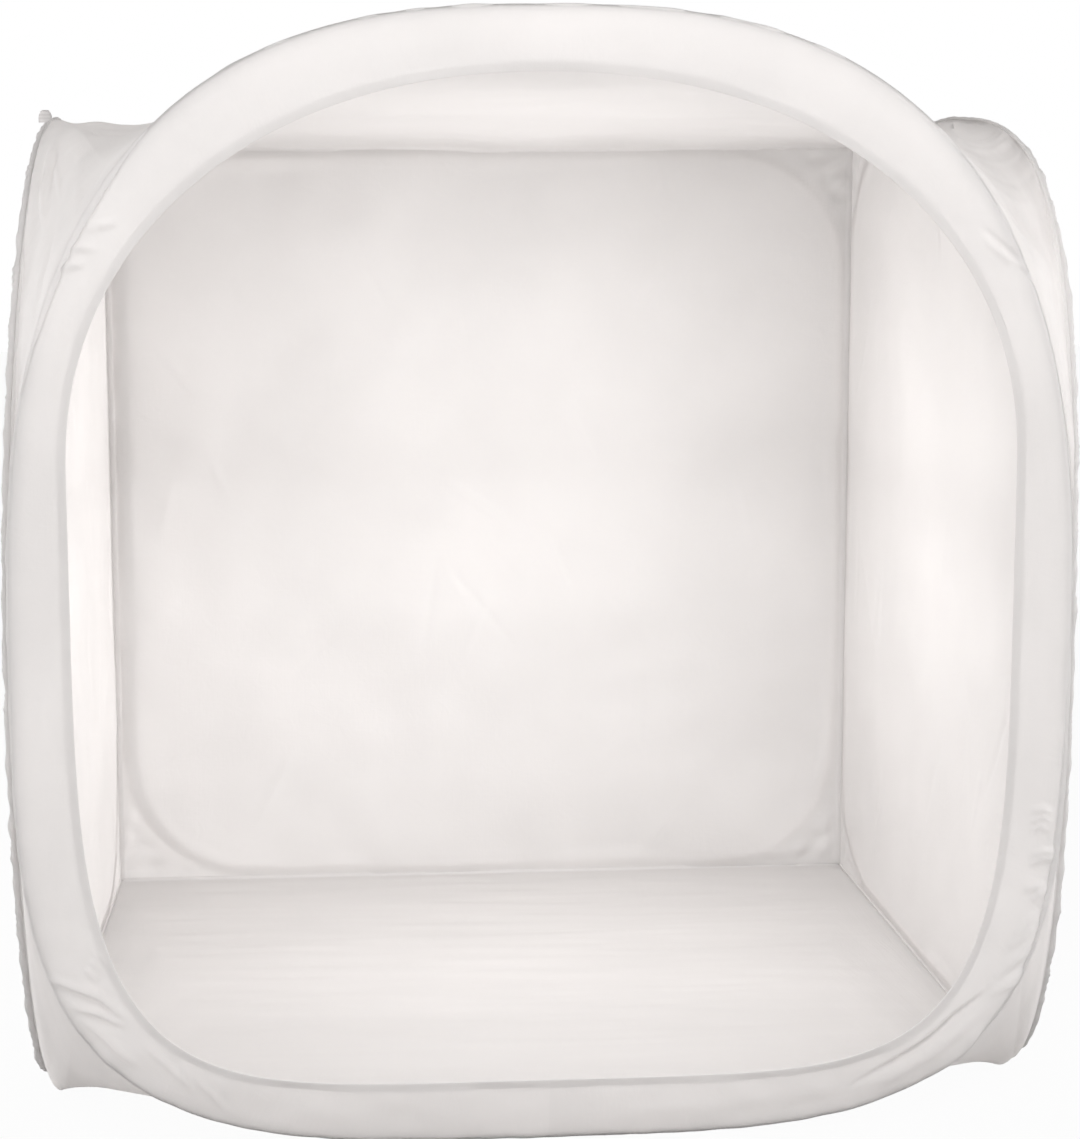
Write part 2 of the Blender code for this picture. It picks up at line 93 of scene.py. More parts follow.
# Side walls: each has square corners at the back and springs into one long bow at the front
LEFT = -1
RIGHT = 1
SIDES = {"left": LEFT, "right": RIGHT}
SEEDS = {LEFT: 100, RIGHT: 200}
SIDE_START_Y = BACK_Y - GAP
SIDE_END_Y = RING_HIGH.y + 4 * GAP
FRONT_HALF = 0.798
FRONT_HEIGHT = 1.555
SIDE_LENGTH = math.hypot(FRONT_HALF - BACK_HALF, SIDE_START_Y - SIDE_END_Y)
SPREAD = (FRONT_HALF - BACK_HALF) / SIDE_LENGTH
RUN = (SIDE_START_Y - SIDE_END_Y) / SIDE_LENGTH
FOLD_ALONG = 0.73599
FOLD_SOFTNESS = 0.030
BOW_WAIST = 0.700
BOW_TOP_REACH = SIDE_LENGTH - FOLD_ALONG - 0.020
BOW_FOOT_REACH = 0.370

# Hoops: the radius of their square corners, and how far they lie in from the walls' edges
HOOP_CORNER = 0.250
SIDE_HOOP_INSET = 0.014
BACK_HOOP_INSET = 0.0175
STEEL_WIDTH = 0.006
STEEL_THICKNESS = 0.0012

# Roof and floor: the heights at which they leave the ring, where their columns change pitch along x, and the
# number of columns in each stretch
ROOF_JOINS_RING = {LEFT: 0.750, RIGHT: 0.900}
FLOOR_JOINS_RING = {LEFT: 0.600, RIGHT: 0.520}
RING_SEAM_INSET = 0.007
ROOF_RUNS = (0.620, 0.430)
FLOOR_RUNS = (0.720, 0.430)
ROOF_STEPS = (240, 40, 24)
FLOOR_STEPS = (92, 40, 30)
ROOF_ROWS = 72
FLOOR_ROWS = 140
FLOOR_LIFT_REACH = 0.350
FLOOR_RISE = 0.0026

# Heights that keep the cloth off the ground, and the walls and sleeves off the floor's folds
ON_FLOOR = 0.0003
FLOOR_LOWEST = 0.0008
SIDE_SLEEVE_LOWEST = 0.0040
WALL_LOWEST = 0.0044

# Seams between panels: how far a panel is drawn round into one, and how far from the back wall the tape stops
SEAM_PULL = 0.0070
SEAM_PULL_ROWS = 5
INTO_SEAM = 0.0012
SEAM_END = 0.008

# How near a seam or a hoop the relief of the cloth dies out
SEAM_REACH = 0.03

# Steps round or along each piece; a curve is first drawn with CURVE_STEPS and then cut evenly
CURVE_STEPS = 8000
RING_SLEEVE_STEPS = 1500
BACK_SLEEVE_STEPS = 1200
SIDE_SLEEVE_STEPS = 1250
SIDE_STEEL_STEPS = 600
EDGE_SEAM_STEPS = 560
BACK_SEAM_STEPS = 300
BACK_WALL_STEPS = 210
SIDE_WALL_ROWS = 200
SIDE_WALL_COLUMNS = 190
HOOP_STEPS = 400


class TentForm(PropertyGroup):
    """Shape of the cloth between the hoops."""

    ring_waist: FloatProperty(
        name="Ring waist", description="Height where the front ring is widest", default=0.760, unit="LENGTH"
    )
    ring_top_power: FloatProperty(
        name="Ring arch", description="Squareness of the ring above its waist", default=2.67, min=2.0, max=8.0
    )
    ring_foot_power: FloatProperty(
        name="Ring foot", description="Squareness of the ring below its waist", default=3.69, min=2.0, max=8.0
    )
    opening_waist: FloatProperty(
        name="Opening waist", description="Height where the opening is widest", default=1.040, unit="LENGTH"
    )
    opening_top_power: FloatProperty(
        name="Opening arch", description="Squareness of the opening above its waist", default=2.15
    )
    opening_foot_power: FloatProperty(
        name="Opening foot", description="Squareness of the opening below its waist", default=4.90
    )
    sleeve_width: FloatProperty(
        name="Sleeve width", description="Width of a hoop's sleeve", default=0.021, unit="LENGTH"
    )
    sleeve_depth: FloatProperty(
        name="Sleeve depth", description="How far a sleeve stands off its wall", default=0.013, unit="LENGTH"
    )
    band_crown: FloatProperty(
        name="Band crown", description="How far the front band swells forward", default=0.0045, unit="LENGTH"
    )
    band_setback: FloatProperty(
        name="Band set-back", description="How far the opening's edge lies back", default=0.004, unit="LENGTH"
    )
    foot_lean: FloatProperty(
        name="Foot lean", description="How far the band's foot leans forward", default=0.036, unit="LENGTH"
    )
    hem_width: FloatProperty(
        name="Hem width", description="Width of the hem behind the opening", default=0.012, unit="LENGTH"
    )
    roof_sag: FloatProperty(
        name="Roof sag", description="How far the roof hangs down in its middle", default=0.018, unit="LENGTH"
    )
    cloth: FloatProperty(
        name="Cloth thickness", description="Thickness of the cloth as drawn", default=0.0010, unit="LENGTH"
    )
    gather_pitch: FloatProperty(
        name="Gather pitch", description="Spacing of the gathers along a sleeve", default=0.013, unit="LENGTH"
    )
    gather_depth: FloatProperty(
        name="Gather depth", description="Depth of the gathers along a sleeve", default=0.0014, unit="LENGTH"
    )
    bow_tops: FloatVectorProperty(
        name="Bow tops", description="Squareness of the left and right wall's front above its waist",
        default=(1.95, 3.40), size=2
    )
    bow_feet: FloatVectorProperty(
        name="Bow feet", description="Squareness of the left and right wall's front below its waist",
        default=(1.85, 2.45), size=2
    )


class TentFinish(PropertyGroup):
    """Colours and surface of the cloth and the steel."""

    cloth_light: StringProperty(name="Cloth, light", description="Cloth, as sRGB hex", default="F6F4F3")
    cloth_shade: StringProperty(name="Cloth, shade", description="Its fainter patches", default="F3F1F0")
    # The sleeves' colours are set lighter than the cloth's own: painted light that lifts the shade the
    # sleeves fall into
    sleeve_light: StringProperty(name="Sleeve, light", description="Sleeves, as sRGB hex", default="FAF8F7")
    sleeve_shade: StringProperty(name="Sleeve, shade", description="Their fainter patches", default="F5F3F2")
    # The tape's darker colour falls in the bands between its ribs: painted shade in its grooves
    tape_light: StringProperty(name="Tape, light", description="Seam tape, as sRGB hex", default="EFEDEC")
    tape_shade: StringProperty(name="Tape, shade", description="Between its ribs", default="DEDBDA")
    steel: StringProperty(name="Spring steel", description="Hoops, as sRGB hex", default="8F9398")
    zinc: StringProperty(name="Ferrule zinc", description="Ferrules, as sRGB hex", default="B9BDC0")
    glow: FloatProperty(
        name="Light through cloth", description="Share of the light that passes the cloth", default=0.48,
        min=0.0, max=1.0
    )


class TentStage(PropertyGroup):
    """Camera, lamps and floor."""

    eye: FloatVectorProperty(
        name="Camera", description="Place of the camera", default=(-0.360, -4.855, 1.558),
        subtype="TRANSLATION"
    )
    turn: FloatProperty(
        name="Camera turn", description="Towards +X", default=math.radians(4.86), subtype="ANGLE"
    )
    pitch: FloatProperty(
        name="Camera pitch", description="Down from level", default=math.radians(9.25), subtype="ANGLE"
    )
    lens: FloatProperty(name="Lens", description="Focal length in millimetres", default=87.9)
    front_watts: FloatProperty(name="Front lamp", description="Watts, near the camera", default=64.0)
    key_watts: FloatProperty(name="Key lamp", description="Watts, high in front", default=40.0)
    brow_watts: FloatProperty(name="Brow strip", description="Watts, before the arch", default=0.5)
    left_watts: FloatProperty(name="Left lamp", description="Watts, behind the left wall", default=54.0)
    right_watts: FloatProperty(name="Right lamp", description="Watts, beside the right wall", default=38.0)
    edge_watts: FloatProperty(name="Left edge lamp", description="Watts, at the left front", default=20.0)
    up_watts: FloatProperty(name="Upward lamp", description="Watts, inside, facing up", default=3.6)
    down_watts: FloatProperty(name="Downward lamp", description="Watts, inside, facing down", default=3.6)
    inside_watts: FloatProperty(name="Inside globe", description="Watts, in the middle", default=7.0)
    sky: FloatProperty(name="Sky", description="Strength of the even light from all round", default=0.30)
    floor_white: FloatProperty(
        name="Floor white", description="Share of plain white in the floor that is seen", default=0.96,
        min=0.0, max=1.0
    )
    floor_reach: FloatProperty(
        name="Floor reach", description="Half of the floor's width", default=14.0, unit="LENGTH"
    )


# Materials


def linear(code):
    """An sRGB hex value as a linear colour."""
    parts = [int(code[index : index + 2], 16) / 255 for index in (0, 2, 4)]
    return [part / 12.92 if part <= 0.04045 else ((part + 0.055) / 1.055) ** 2.4 for part in parts] + [1.0]


def add_node(tree, kind, settings=None, links=None):
    """Adds a node, sets its properties and sockets by name or number, and links its sockets from outputs."""
    made = tree.nodes.new(kind)
    for name, value in (settings or {}).items():
        if isinstance(name, str) and hasattr(made, name) and name not in made.inputs:
            setattr(made, name, value)
        else:
            made.inputs[name].default_value = value
    for name, output in (links or {}).items():
        tree.links.new(output, made.inputs[name])
    return made


def new_material(name):
    """An empty node material with its output."""
    made = bpy.data.materials.new(name)
    made.use_nodes = True
    made.node_tree.nodes.clear()
    return made, add_node(made.node_tree, "ShaderNodeOutputMaterial")


def let_light_through(tree, surface, through_links, glow, output):
    """Ends a cloth's nodes: a share of the light passes through it, and the rest meets its surface."""
    through = add_node(tree, "ShaderNodeBsdfTranslucent", links=through_links)
    shaders = {1: surface.outputs["BSDF"], 2: through.outputs["BSDF"]}
    both = add_node(tree, "ShaderNodeMixShader", {"Fac": glow}, shaders)
    tree.links.new(both.outputs["Shader"], output.inputs["Surface"])


# The Mix node's two colours are its sockets 6 and 7, and its mixed colour is its output 2
COLOR_A, COLOR_B, MIXED = 6, 7, 2
FLAT_NOISE = {"noise_dimensions": "2D"}


def woven_cloth(name, light, shade, glow, slub_mm, crinkle):
    """Plain-woven white nylon, thin and calendered: matt, with a faint sheen and light coming through it.

    Its threads are 0.2 mm apart, too fine to show, so the slubs that run along them are drawn slub_mm apart.
    Crinkles 38 mm across and shaded patches 320 mm across lie over them.
    """
    slub_stretch, crinkles_a_metre, patches_a_metre = 9.0, 26.0, 3.1
    made, output = new_material(name)
    tree = made.node_tree
    uv = add_node(tree, "ShaderNodeTexCoord").outputs["UV"]
    slub = {**FLAT_NOISE, "Scale": 1000 / slub_mm / slub_stretch, "Detail": 2.0, "Roughness": 0.6}
    slubs = []
    for stretch in ((1.0, slub_stretch, 1.0), (slub_stretch, 1.0, 1.0)):
        turned = add_node(tree, "ShaderNodeMapping", {"Scale": stretch}, {"Vector": uv}).outputs["Vector"]
        slubs.append(add_node(tree, "ShaderNodeTexNoise", slub, {"Vector": turned}).outputs["Fac"])
    weave = add_node(tree, "ShaderNodeMath", {"operation": "ADD"}, dict(enumerate(slubs))).outputs["Value"]
    crush = {**FLAT_NOISE, "Scale": crinkles_a_metre, "Detail": 5.0, "Roughness": 0.55, "Distortion": 0.6}
    crush = add_node(tree, "ShaderNodeTexNoise", crush, {"Vector": uv}).outputs["Fac"]
    patch = {**FLAT_NOISE, "Scale": patches_a_metre, "Detail": 3.0}
    patch = add_node(tree, "ShaderNodeTexNoise", patch, {"Vector": uv}).outputs["Fac"]
    tone = add_node(tree, "ShaderNodeMapRange", {"From Min": 0.35, "From Max": 0.68}, {"Value": patch})
    colors = {"data_type": "RGBA", COLOR_A: linear(light), COLOR_B: linear(shade)}
    color = add_node(tree, "ShaderNodeMix", colors, {"Factor": tone.outputs["Result"]}).outputs[MIXED]
    fine = add_node(tree, "ShaderNodeBump", {"Strength": 0.16, "Distance": 0.0006}, {"Height": weave})
    relief = {"Height": crush, "Normal": fine.outputs["Normal"]}
    bump = add_node(tree, "ShaderNodeBump", {"Strength": crinkle, "Distance": 0.004}, relief)
    surface = add_node(
        tree,
        "ShaderNodeBsdfPrincipled",
        {"Roughness": 0.72, "Sheen Weight": 0.12, "Sheen Roughness": 0.4, "Specular IOR Level": 0.35},
        {"Base Color": color, "Normal": bump.outputs["Normal"]},
    )
    let_light_through(tree, surface, {"Color": color, "Normal": bump.outputs["Normal"]}, glow, output)
    return made


def binding_tape(name, light, shade, glow):
    """Woven polyester binding tape, folded over a seam: matt and ribbed across, with painted shade between
    its ribs.

    Its ribs are 0.6 mm apart and are drawn 3 mm apart, so that they show.
    """
    scale = 1 / 0.003 / 20 * math.pi
    made, output = new_material(name)
    tree = made.node_tree
    uv = add_node(tree, "ShaderNodeTexCoord").outputs["UV"]
    bands = {"wave_type": "BANDS", "bands_direction": "X", "Scale": scale, "Distortion": 0.8}
    ribs = add_node(tree, "ShaderNodeTexWave", bands, {"Vector": uv}).outputs["Fac"]
    # Darker between the ribs: painted shade
    tone = add_node(tree, "ShaderNodeMapRange", {"To Max": 0.6}, {"Value": ribs})
    colors = {"data_type": "RGBA", COLOR_A: linear(light), COLOR_B: linear(shade)}
    color = add_node(tree, "ShaderNodeMix", colors, {"Factor": tone.outputs["Result"]}).outputs[MIXED]
    bump = add_node(tree, "ShaderNodeBump", {"Strength": 0.35, "Distance": 0.0008}, {"Height": ribs})
    surface = add_node(
        tree,
        "ShaderNodeBsdfPrincipled",
        {"Roughness": 0.8, "Sheen Weight": 0.1},
        {"Base Color": color, "Normal": bump.outputs["Normal"]},
    )
    let_light_through(tree, surface, {"Color": color}, glow, output)
    return made


def rolled_steel(name, tint, roughness, grain_mm):
    """Cold-rolled steel: a fine grain of duller and shinier spots, and a faint bluish bloom of oil."""
    blooms_a_metre, bloom_tint = 18.0, (0.82, 0.86, 0.95, 1.0)
    made, output = new_material(name)
    tree = made.node_tree
    place = add_node(tree, "ShaderNodeTexCoord").outputs["Object"]
    grain = {"Scale": 1000 / grain_mm, "Detail": 3.0}
    grain = add_node(tree, "ShaderNodeTexNoise", grain, {"Vector": place}).outputs["Fac"]
    dullness = {"To Min": roughness - 0.08, "To Max": roughness + 0.1}
    rough = add_node(tree, "ShaderNodeMapRange", dullness, {"Value": grain}).outputs["Result"]
    bloom = {"Scale": blooms_a_metre, "Detail": 2.0}
    bloom = add_node(tree, "ShaderNodeTexNoise", bloom, {"Vector": place}).outputs["Fac"]
    colors = {"data_type": "RGBA", "blend_type": "MULTIPLY", COLOR_A: linear(tint), COLOR_B: bloom_tint}
    color = add_node(tree, "ShaderNodeMix", colors, {"Factor": bloom}).outputs[MIXED]
    metal = {"Base Color": color, "Roughness": rough}
    surface = add_node(tree, "ShaderNodeBsdfPrincipled", {"Metallic": 1.0}, metal)
    tree.links.new(surface.outputs["BSDF"], output.inputs["Surface"])
    return made


def finishes():
    """The tent's materials, made once and found by name afterwards."""
    look = bpy.context.scene.tent_finish
    cloth = (look.cloth_light, look.cloth_shade, look.glow)
    # The sleeves, and the edge seams that share their material, take the lighter sleeve colours: painted
    # light
    sleeve = (look.sleeve_light, look.sleeve_shade, look.glow)
    makers = {
        "woven_diffusion_nylon": lambda name: woven_cloth(name, *cloth, slub_mm=5.0, crinkle=0.12),
        "gathered_sleeve_nylon": lambda name: woven_cloth(name, *sleeve, slub_mm=4.0, crinkle=0.3),
        "woven_binding_tape": lambda name: binding_tape(name, look.tape_light, look.tape_shade, look.glow),
        "blued_spring_steel": lambda name: rolled_steel(name, look.steel, roughness=0.34, grain_mm=1.5),
        "zinc_plated_steel": lambda name: rolled_steel(name, look.zinc, roughness=0.42, grain_mm=0.8),
    }
    return {name: bpy.data.materials.get(name) or make(name) for name, make in makers.items()}


# Surfaces


def even(path, count):
    """A path again as count equal steps."""
    steps = np.linalg.norm(np.diff(path, axis=0), axis=1)
    marks = np.concatenate([[0.0], np.cumsum(steps)])
    wanted = np.linspace(0.0, marks[-1], count + 1)
    return np.column_stack([np.interp(wanted, marks, path[:, axis]) for axis in range(path.shape[1])])


def oval(width, foot, top, waist, foot_power, top_power, count=4000):
    """A closed superellipse in (x, z), from its foot's middle round by +X, with two powers."""
    angle = np.linspace(-math.pi / 2, 1.5 * math.pi, CURVE_STEPS + 1)
    across, up = np.cos(angle), np.sin(angle)
    height = np.where(up > 0, top - waist, waist - foot)
    power = np.where(up > 0, top_power, foot_power)
    x = np.sign(across) * np.abs(across) ** (2 / power) * width / 2
    z = waist + np.sign(up) * np.abs(up) ** (2 / power) * height
    return even(np.column_stack([x, z]), count)


def ring(inset, count=4000):
    """The front ring's outline, moved in from the outside of its sleeve."""
    form = bpy.context.scene.tent_form
    return oval(
        RING_WIDTH - 2 * inset,
        inset,
        RING_HEIGHT - inset,
        form.ring_waist,
        form.ring_foot_power,
        form.ring_top_power,
        count,
    )


def opening(grow, count=4000):
    """The opening's edge, moved out into the band."""
    form = bpy.context.scene.tent_form
    return oval(
        OPENING_HIGH.x - OPENING_LOW.x + 2 * grow,
        OPENING_LOW.z - grow,
        OPENING_HIGH.z + grow,
        form.opening_waist,
        form.opening_foot_power,
        form.opening_top_power,
        count,
    )


def corner(centre, radius, start, steps=64):
    """A quarter circle in plane coordinates, anticlockwise from the start angle in degrees."""
    angle = np.radians(np.linspace(start, start + 90, steps + 1))
    return np.column_stack([centre[0] + radius * np.cos(angle), centre[1] + radius * np.sin(angle)])


def side_place(side, along, up, out):
    """Points of the left (-1) or right (+1) wall: along from the back, up, and out from its inner face."""
    x = BACK_HALF + SPREAD * along + RUN * out
    y = SIDE_START_Y - RUN * along + SPREAD * out
    return np.stack(np.broadcast_arrays(side * x, y, up), axis=-1)


def wall_top(along):
    """Height of a side wall's top edge behind its bow."""
    return BACK_HEIGHT + (FRONT_HEIGHT - BACK_HEIGHT) * along / (SIDE_LENGTH - BOW_TOP_REACH)


def bow(side, inset=0.0, count=600):
    """A side wall's front curve in (along, up), moved in from its edge: from the floor round to the top."""
    form = bpy.context.scene.tent_form
    number = 0 if side == LEFT else 1
    top_power, foot_power = form.bow_tops[number], form.bow_feet[number]
    angle = np.linspace(-math.pi / 2, math.pi / 2, CURVE_STEPS + 1)
    ahead, up = np.maximum(np.cos(angle), 0), np.abs(np.sin(angle))
    upper = angle > 0
    power = np.where(upper, top_power, foot_power)
    reach = np.where(upper, BOW_TOP_REACH, BOW_FOOT_REACH)
    rise = np.where(upper, FRONT_HEIGHT - GAP - inset - BOW_WAIST, GAP + inset - BOW_WAIST)
    along = SIDE_LENGTH - reach + ahead ** (2 / power) * (reach - inset)
    return even(np.column_stack([along, BOW_WAIST + up ** (2 / power) * rise]), count)


def off_path(x, z, path):
    """Signed distance of points from a closed flat path: below 0 inside it."""
    first, step = path[:-1], np.diff(path, axis=0)
    square = (step**2).sum(axis=1)
    nearest = np.full(x.shape, np.inf)
    inside = np.zeros(x.shape, bool)
    for (x0, z0), (dx, dz), size in zip(first, step, square):
        if size == 0:
            continue
        share = np.clip(((x - x0) * dx + (z - z0) * dz) / size, 0, 1)
        nearest = np.minimum(nearest, np.hypot(x - x0 - share * dx, z - z0 - share * dz))
        if dz != 0:
            crossing = x0 + (z - z0) / dz * dx
            inside ^= ((z0 > z) != (z0 + dz > z)) & (x < crossing)
    return np.where(inside, -nearest, nearest)


def waves(seed, s, t, size, count=28):
    """Smooth random swells of about unit height and the given size, for two surface coordinates in metres."""
    draw = np.random.default_rng(seed)
    total = np.zeros(np.broadcast(s, t).shape)
    for _ in range(count):
        angle, phase = draw.uniform(0, 2 * math.pi, 2)
        rate = 2 * math.pi / size * draw.uniform(0.5, 1.6)
        total += np.sin(rate * (s * math.cos(angle) + t * math.sin(angle)) + phase)
    return total * math.sqrt(2 / count)


def swells(rows, s, t):
    """Waves added up, for rows of seed, size and height."""
    return sum(waves(seed, s, t, size) * height for seed, size, height in rows)


def gathers(seed, s, t, pitch, reach):
    """Small folds that start at a seam at t = 0 and die out away from it, of about unit height.

    Their pitch sways, their slant, strength and length change along the seam, and they have sharp crests.
    """
    sway = waves(seed, s, 0 * s, pitch * 7) * pitch * 1.1
    slant = waves(seed + 1, s, 0 * s, pitch * 16) * 0.5
    strength = np.clip(0.55 + 0.6 * waves(seed + 2, s, 0 * s, pitch * 11), 0.05, 1.4)
    length = reach * np.clip(1 + 0.7 * waves(seed + 3, s, 0 * s, pitch * 5), 0.25, 2.4)
    phase = 2 * math.pi * (s + sway + slant * t) / pitch
    crest = 1 - np.abs(np.sin(phase / 2)) ** 0.8
    return (crest - 0.42) * strength * np.exp(-((np.abs(t) / length) ** 1.3))


def creases(s, t, folds):
    """Height of single folds (s, t, angle in degrees, length, width, depth), each steeper on one flank."""
    height = np.zeros(np.broadcast(s, t).shape)
    for fold_s, fold_t, angle, length, width, depth in folds:
        turn = math.radians(angle)
        along = (s - fold_s) * math.cos(turn) + (t - fold_t) * math.sin(turn)
        across = ((t - fold_t) * math.cos(turn) - (s - fold_s) * math.sin(turn)) / width
        body = np.clip(1 - (2 * along / length) ** 2, 0, None) ** 1.5
        height += depth * body * np.exp(-(across**2)) * (1 + 0.7 * np.tanh(2.5 * across))
    return height


def along_lines(points, lines):
    """Height of single folds (width, depth, path), each along a path of places and dying out at its ends."""
    height = np.zeros(points.shape[:-1])
    for width, depth, path in lines:
        path = np.array(path)
        steps = np.linalg.norm(np.diff(path, axis=0), axis=1)
        passed = np.concatenate([[0.0], np.cumsum(steps)])
        nearest = np.full(points.shape[:-1], np.inf)
        place = np.zeros(points.shape[:-1])
        for start, step, size, mark in zip(path, np.diff(path, axis=0), steps, passed):
            share = np.clip((points - start) @ step / size**2, 0, 1)
            away = np.linalg.norm(points - start - share[..., None] * step, axis=-1)
            place = np.where(away < nearest, mark + share * size, place)
            nearest = np.minimum(away, nearest)
        body = np.sin(math.pi * np.clip(place / passed[-1], 0.02, 0.98)) ** 0.7
        height += depth * body * np.exp(-((nearest / width) ** 2))
    return height


def scattered(seed, count, low, high, angles, lengths, widths, depths):
    """Random folds for creases(), within a box of surface coordinates."""
    draw = np.random.default_rng(seed)
    folds = []
    for _ in range(count):
        folds.append(
            (
                draw.uniform(low[0], high[0]),
                draw.uniform(low[1], high[1]),
                draw.uniform(*angles),
                draw.uniform(*lengths),
                draw.uniform(*widths),
                draw.uniform(*depths) * draw.choice([-1, 1]),
            )
        )
    return folds


def normals_of(points, closed=False):
    """Unit normals of a grid of points, rows by columns."""
    along = np.gradient(points, axis=1)
    if closed:
        ends = points[:, 1] - points[:, -2]
        along[:, 0], along[:, -1] = ends, ends
    normal = np.cross(along, np.gradient(points, axis=0))
    return normal / np.maximum(np.linalg.norm(normal, axis=-1, keepdims=True), 1e-12)


def lift(points, height, closed=False):
    """Moves a grid of points along its own normals."""
    return points + normals_of(points, closed) * height[..., None]


# Points that lie closer than this are one point
MEETS = 0.00001


def deselect():
    """Deselects every object."""
    bpy.ops.object.select_all(action="DESELECT")


def select(obj):
    """Selects one object alone and makes it the active one."""
    deselect()
    obj.select_set(True)
    bpy.context.view_layer.objects.active = obj


def turn_faces():
    """Turns the active object's faces round."""
    bpy.ops.object.mode_set(mode="EDIT")
    bpy.ops.mesh.select_all(action="SELECT")
    bpy.ops.mesh.flip_normals()
    bpy.ops.object.mode_set(mode="OBJECT")


def cloth_grid(name, points, size, outside_of=None):
    """A sheet through a grid of points, with its UV map in metres, joined where its ends meet.

    With outside_of, its faces look away from that place.
    """
    rows, columns = points.shape[0] - 1, points.shape[1] - 1
    deselect()
    bpy.ops.mesh.primitive_grid_add(x_subdivisions=columns, y_subdivisions=rows, size=2, calc_uvs=True)
    obj = bpy.context.active_object
    obj.name = name
    mesh = obj.data
    mesh.name = name
    flat = np.empty(len(mesh.vertices) * 3)
    mesh.vertices.foreach_get("co", flat)
    flat = flat.reshape(-1, 3)
    column = np.rint((flat[:, 0] + 1) / 2 * columns).astype(int)
    row = np.rint((flat[:, 1] + 1) / 2 * rows).astype(int)
    mesh.vertices.foreach_set("co", points[row, column].ravel())
    cells = np.empty(len(mesh.loops) * 2)
    mesh.uv_layers.active.data.foreach_get("uv", cells)
    mesh.uv_layers.active.data.foreach_set("uv", (cells.reshape(-1, 2) * size).ravel())
    mesh.update()
    bpy.ops.object.mode_set(mode="EDIT")
    bpy.ops.mesh.select_all(action="SELECT")
    bpy.ops.mesh.remove_doubles(threshold=MEETS)
    bpy.ops.object.mode_set(mode="OBJECT")
    if outside_of is not None and facing(obj, Vector(outside_of)) < 0:
        turn_faces()
    bpy.ops.object.shade_smooth()
    return obj


def facing(obj, inside):
    """Above 0 if the faces mostly point away from a place inside."""
    return sum((face.center - inside).dot(face.normal) * face.area for face in obj.data.polygons)


def thicken(obj, thickness, offset=0.0):
    """Gives a sheet its thickness: about its middle, or inwards with an offset of -1."""
    select(obj)
    wall = obj.modifiers.new("cloth thickness", "SOLIDIFY")
    wall.thickness = thickness
    wall.offset = offset
    bpy.ops.object.modifier_apply(modifier=wall.name)
    bpy.ops.object.shade_smooth()


def tube(name, path, normal, profile, closed=True, swell=None, lowest=ON_FLOOR):
    """A tube round a path in a plane, with its length and its girth.

    profile holds points (across, off the plane) once round it, and swell(s, turn) says how far a point moves
    out from it, for its distance s along the path and its turn from 0 to 1. No point lies below lowest.
    """
    steps = np.linalg.norm(np.diff(path, axis=0), axis=1)
    s = np.concatenate([[0.0], np.cumsum(steps)])
    along = np.gradient(path, axis=0)
    if closed:
        along[0] = along[-1] = path[1] - path[-2]
    across = np.cross(along, normal)
    across /= np.linalg.norm(across, axis=1, keepdims=True)
    turn = np.linspace(0, 1, profile.shape[0])
    outward = np.column_stack([np.cos(2 * math.pi * turn), np.sin(2 * math.pi * turn)])
    offset = profile[:, None, :] + np.zeros((1, len(path), 1))
    if swell is not None:
        offset = offset + swell(s[None, :], turn[:, None])[..., None] * outward[:, None, :]
    points = path[None] + across[None] * offset[..., :1] + np.asarray(normal)[None, None] * offset[..., 1:]
    points[..., 2] = np.maximum(points[..., 2], lowest)
    points[-1] = points[0]
    if closed:
        points[:, -1] = points[:, 0]
    round_it = np.linalg.norm(np.diff(profile, axis=0), axis=1).sum()
    obj = cloth_grid(name, points, (s[-1], round_it))
    if volume(obj) < 0:
        turn_faces()
    return obj, s[-1], round_it


def volume(obj):
    """Signed volume, from the faces' fans: below 0 if they point inwards."""
    mesh = obj.data
    mesh.calc_loop_triangles()
    points = np.empty(len(mesh.vertices) * 3)
    mesh.vertices.foreach_get("co", points)
    faces = np.empty(len(mesh.loop_triangles) * 3, int)
    mesh.loop_triangles.foreach_get("vertices", faces)
    a, b, c = points.reshape(-1, 3)[faces.reshape(-1, 3)].transpose(1, 0, 2)
    return float((a * np.cross(b, c)).sum() / 6)


def sleeve_profile(width, depth, count=20):
    """A teardrop in (across, off the plane): round where the hoop lies, and drawn in at the seam."""
    turn = np.linspace(0, 2 * math.pi, count + 1)
    full = 0.42 + 0.58 * ((1 + np.cos(turn)) / 2) ** 0.5
    return np.column_stack([width / 2 * np.cos(turn), depth / 2 * np.sin(turn) * full])


def flat_profile(width, depth, count):
    """A flattened oval in (across, off the plane)."""
    turn = np.linspace(0, 2 * math.pi, count + 1)
    across, off = (np.sign(part) * np.abs(part) ** 0.6 for part in (np.cos(turn), np.sin(turn)))
    return np.column_stack([width / 2 * across, depth / 2 * off])


def strip_profile(width, depth):
    """A rectangle in (across, off the plane)."""
    wide, deep = width / 2, depth / 2
    return np.array([(wide, -deep), (wide, deep), (-wide, deep), (-wide, -deep), (wide, -deep)])


def edge_fade(s, reach=0.04):
    """0 at both ends of a path and 1 away from them, so that a closed cloth meets itself evenly."""
    ends = np.clip(np.minimum(s, s.max() - s) / reach, 0, 1)
    return ends**2 * (3 - 2 * ends)


def puckered(form, seeds, pitch, depth, slack):
    """A sleeve's swell for tube(): gathers at multiples of the tent's pitch and depth, and loose swells.

    depth(turn) is the depth's multiple round the sleeve, and slack is the loose swells' size and height.
    """
    size, height = slack

    def swell(s, turn):
        folds = gathers(seeds[0], s, 0 * s, form.gather_pitch * pitch, 1.0) * form.gather_depth * depth(turn)
        return (folds + waves(seeds[1], s, turn * 0.03, size) * height) * edge_fade(s)

    return swell


def dress(obj, material, body=None, covers=()):
    """Gives a piece its finish, hides the frame's nodes that it covers, and sets it on its body when one is
    given.
    """
    obj.data.materials.clear()
    obj.data.materials.append(finishes()[material])
    if covers:
        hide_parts(*covers)
    if body:
        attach(obj, body)


# Front ring


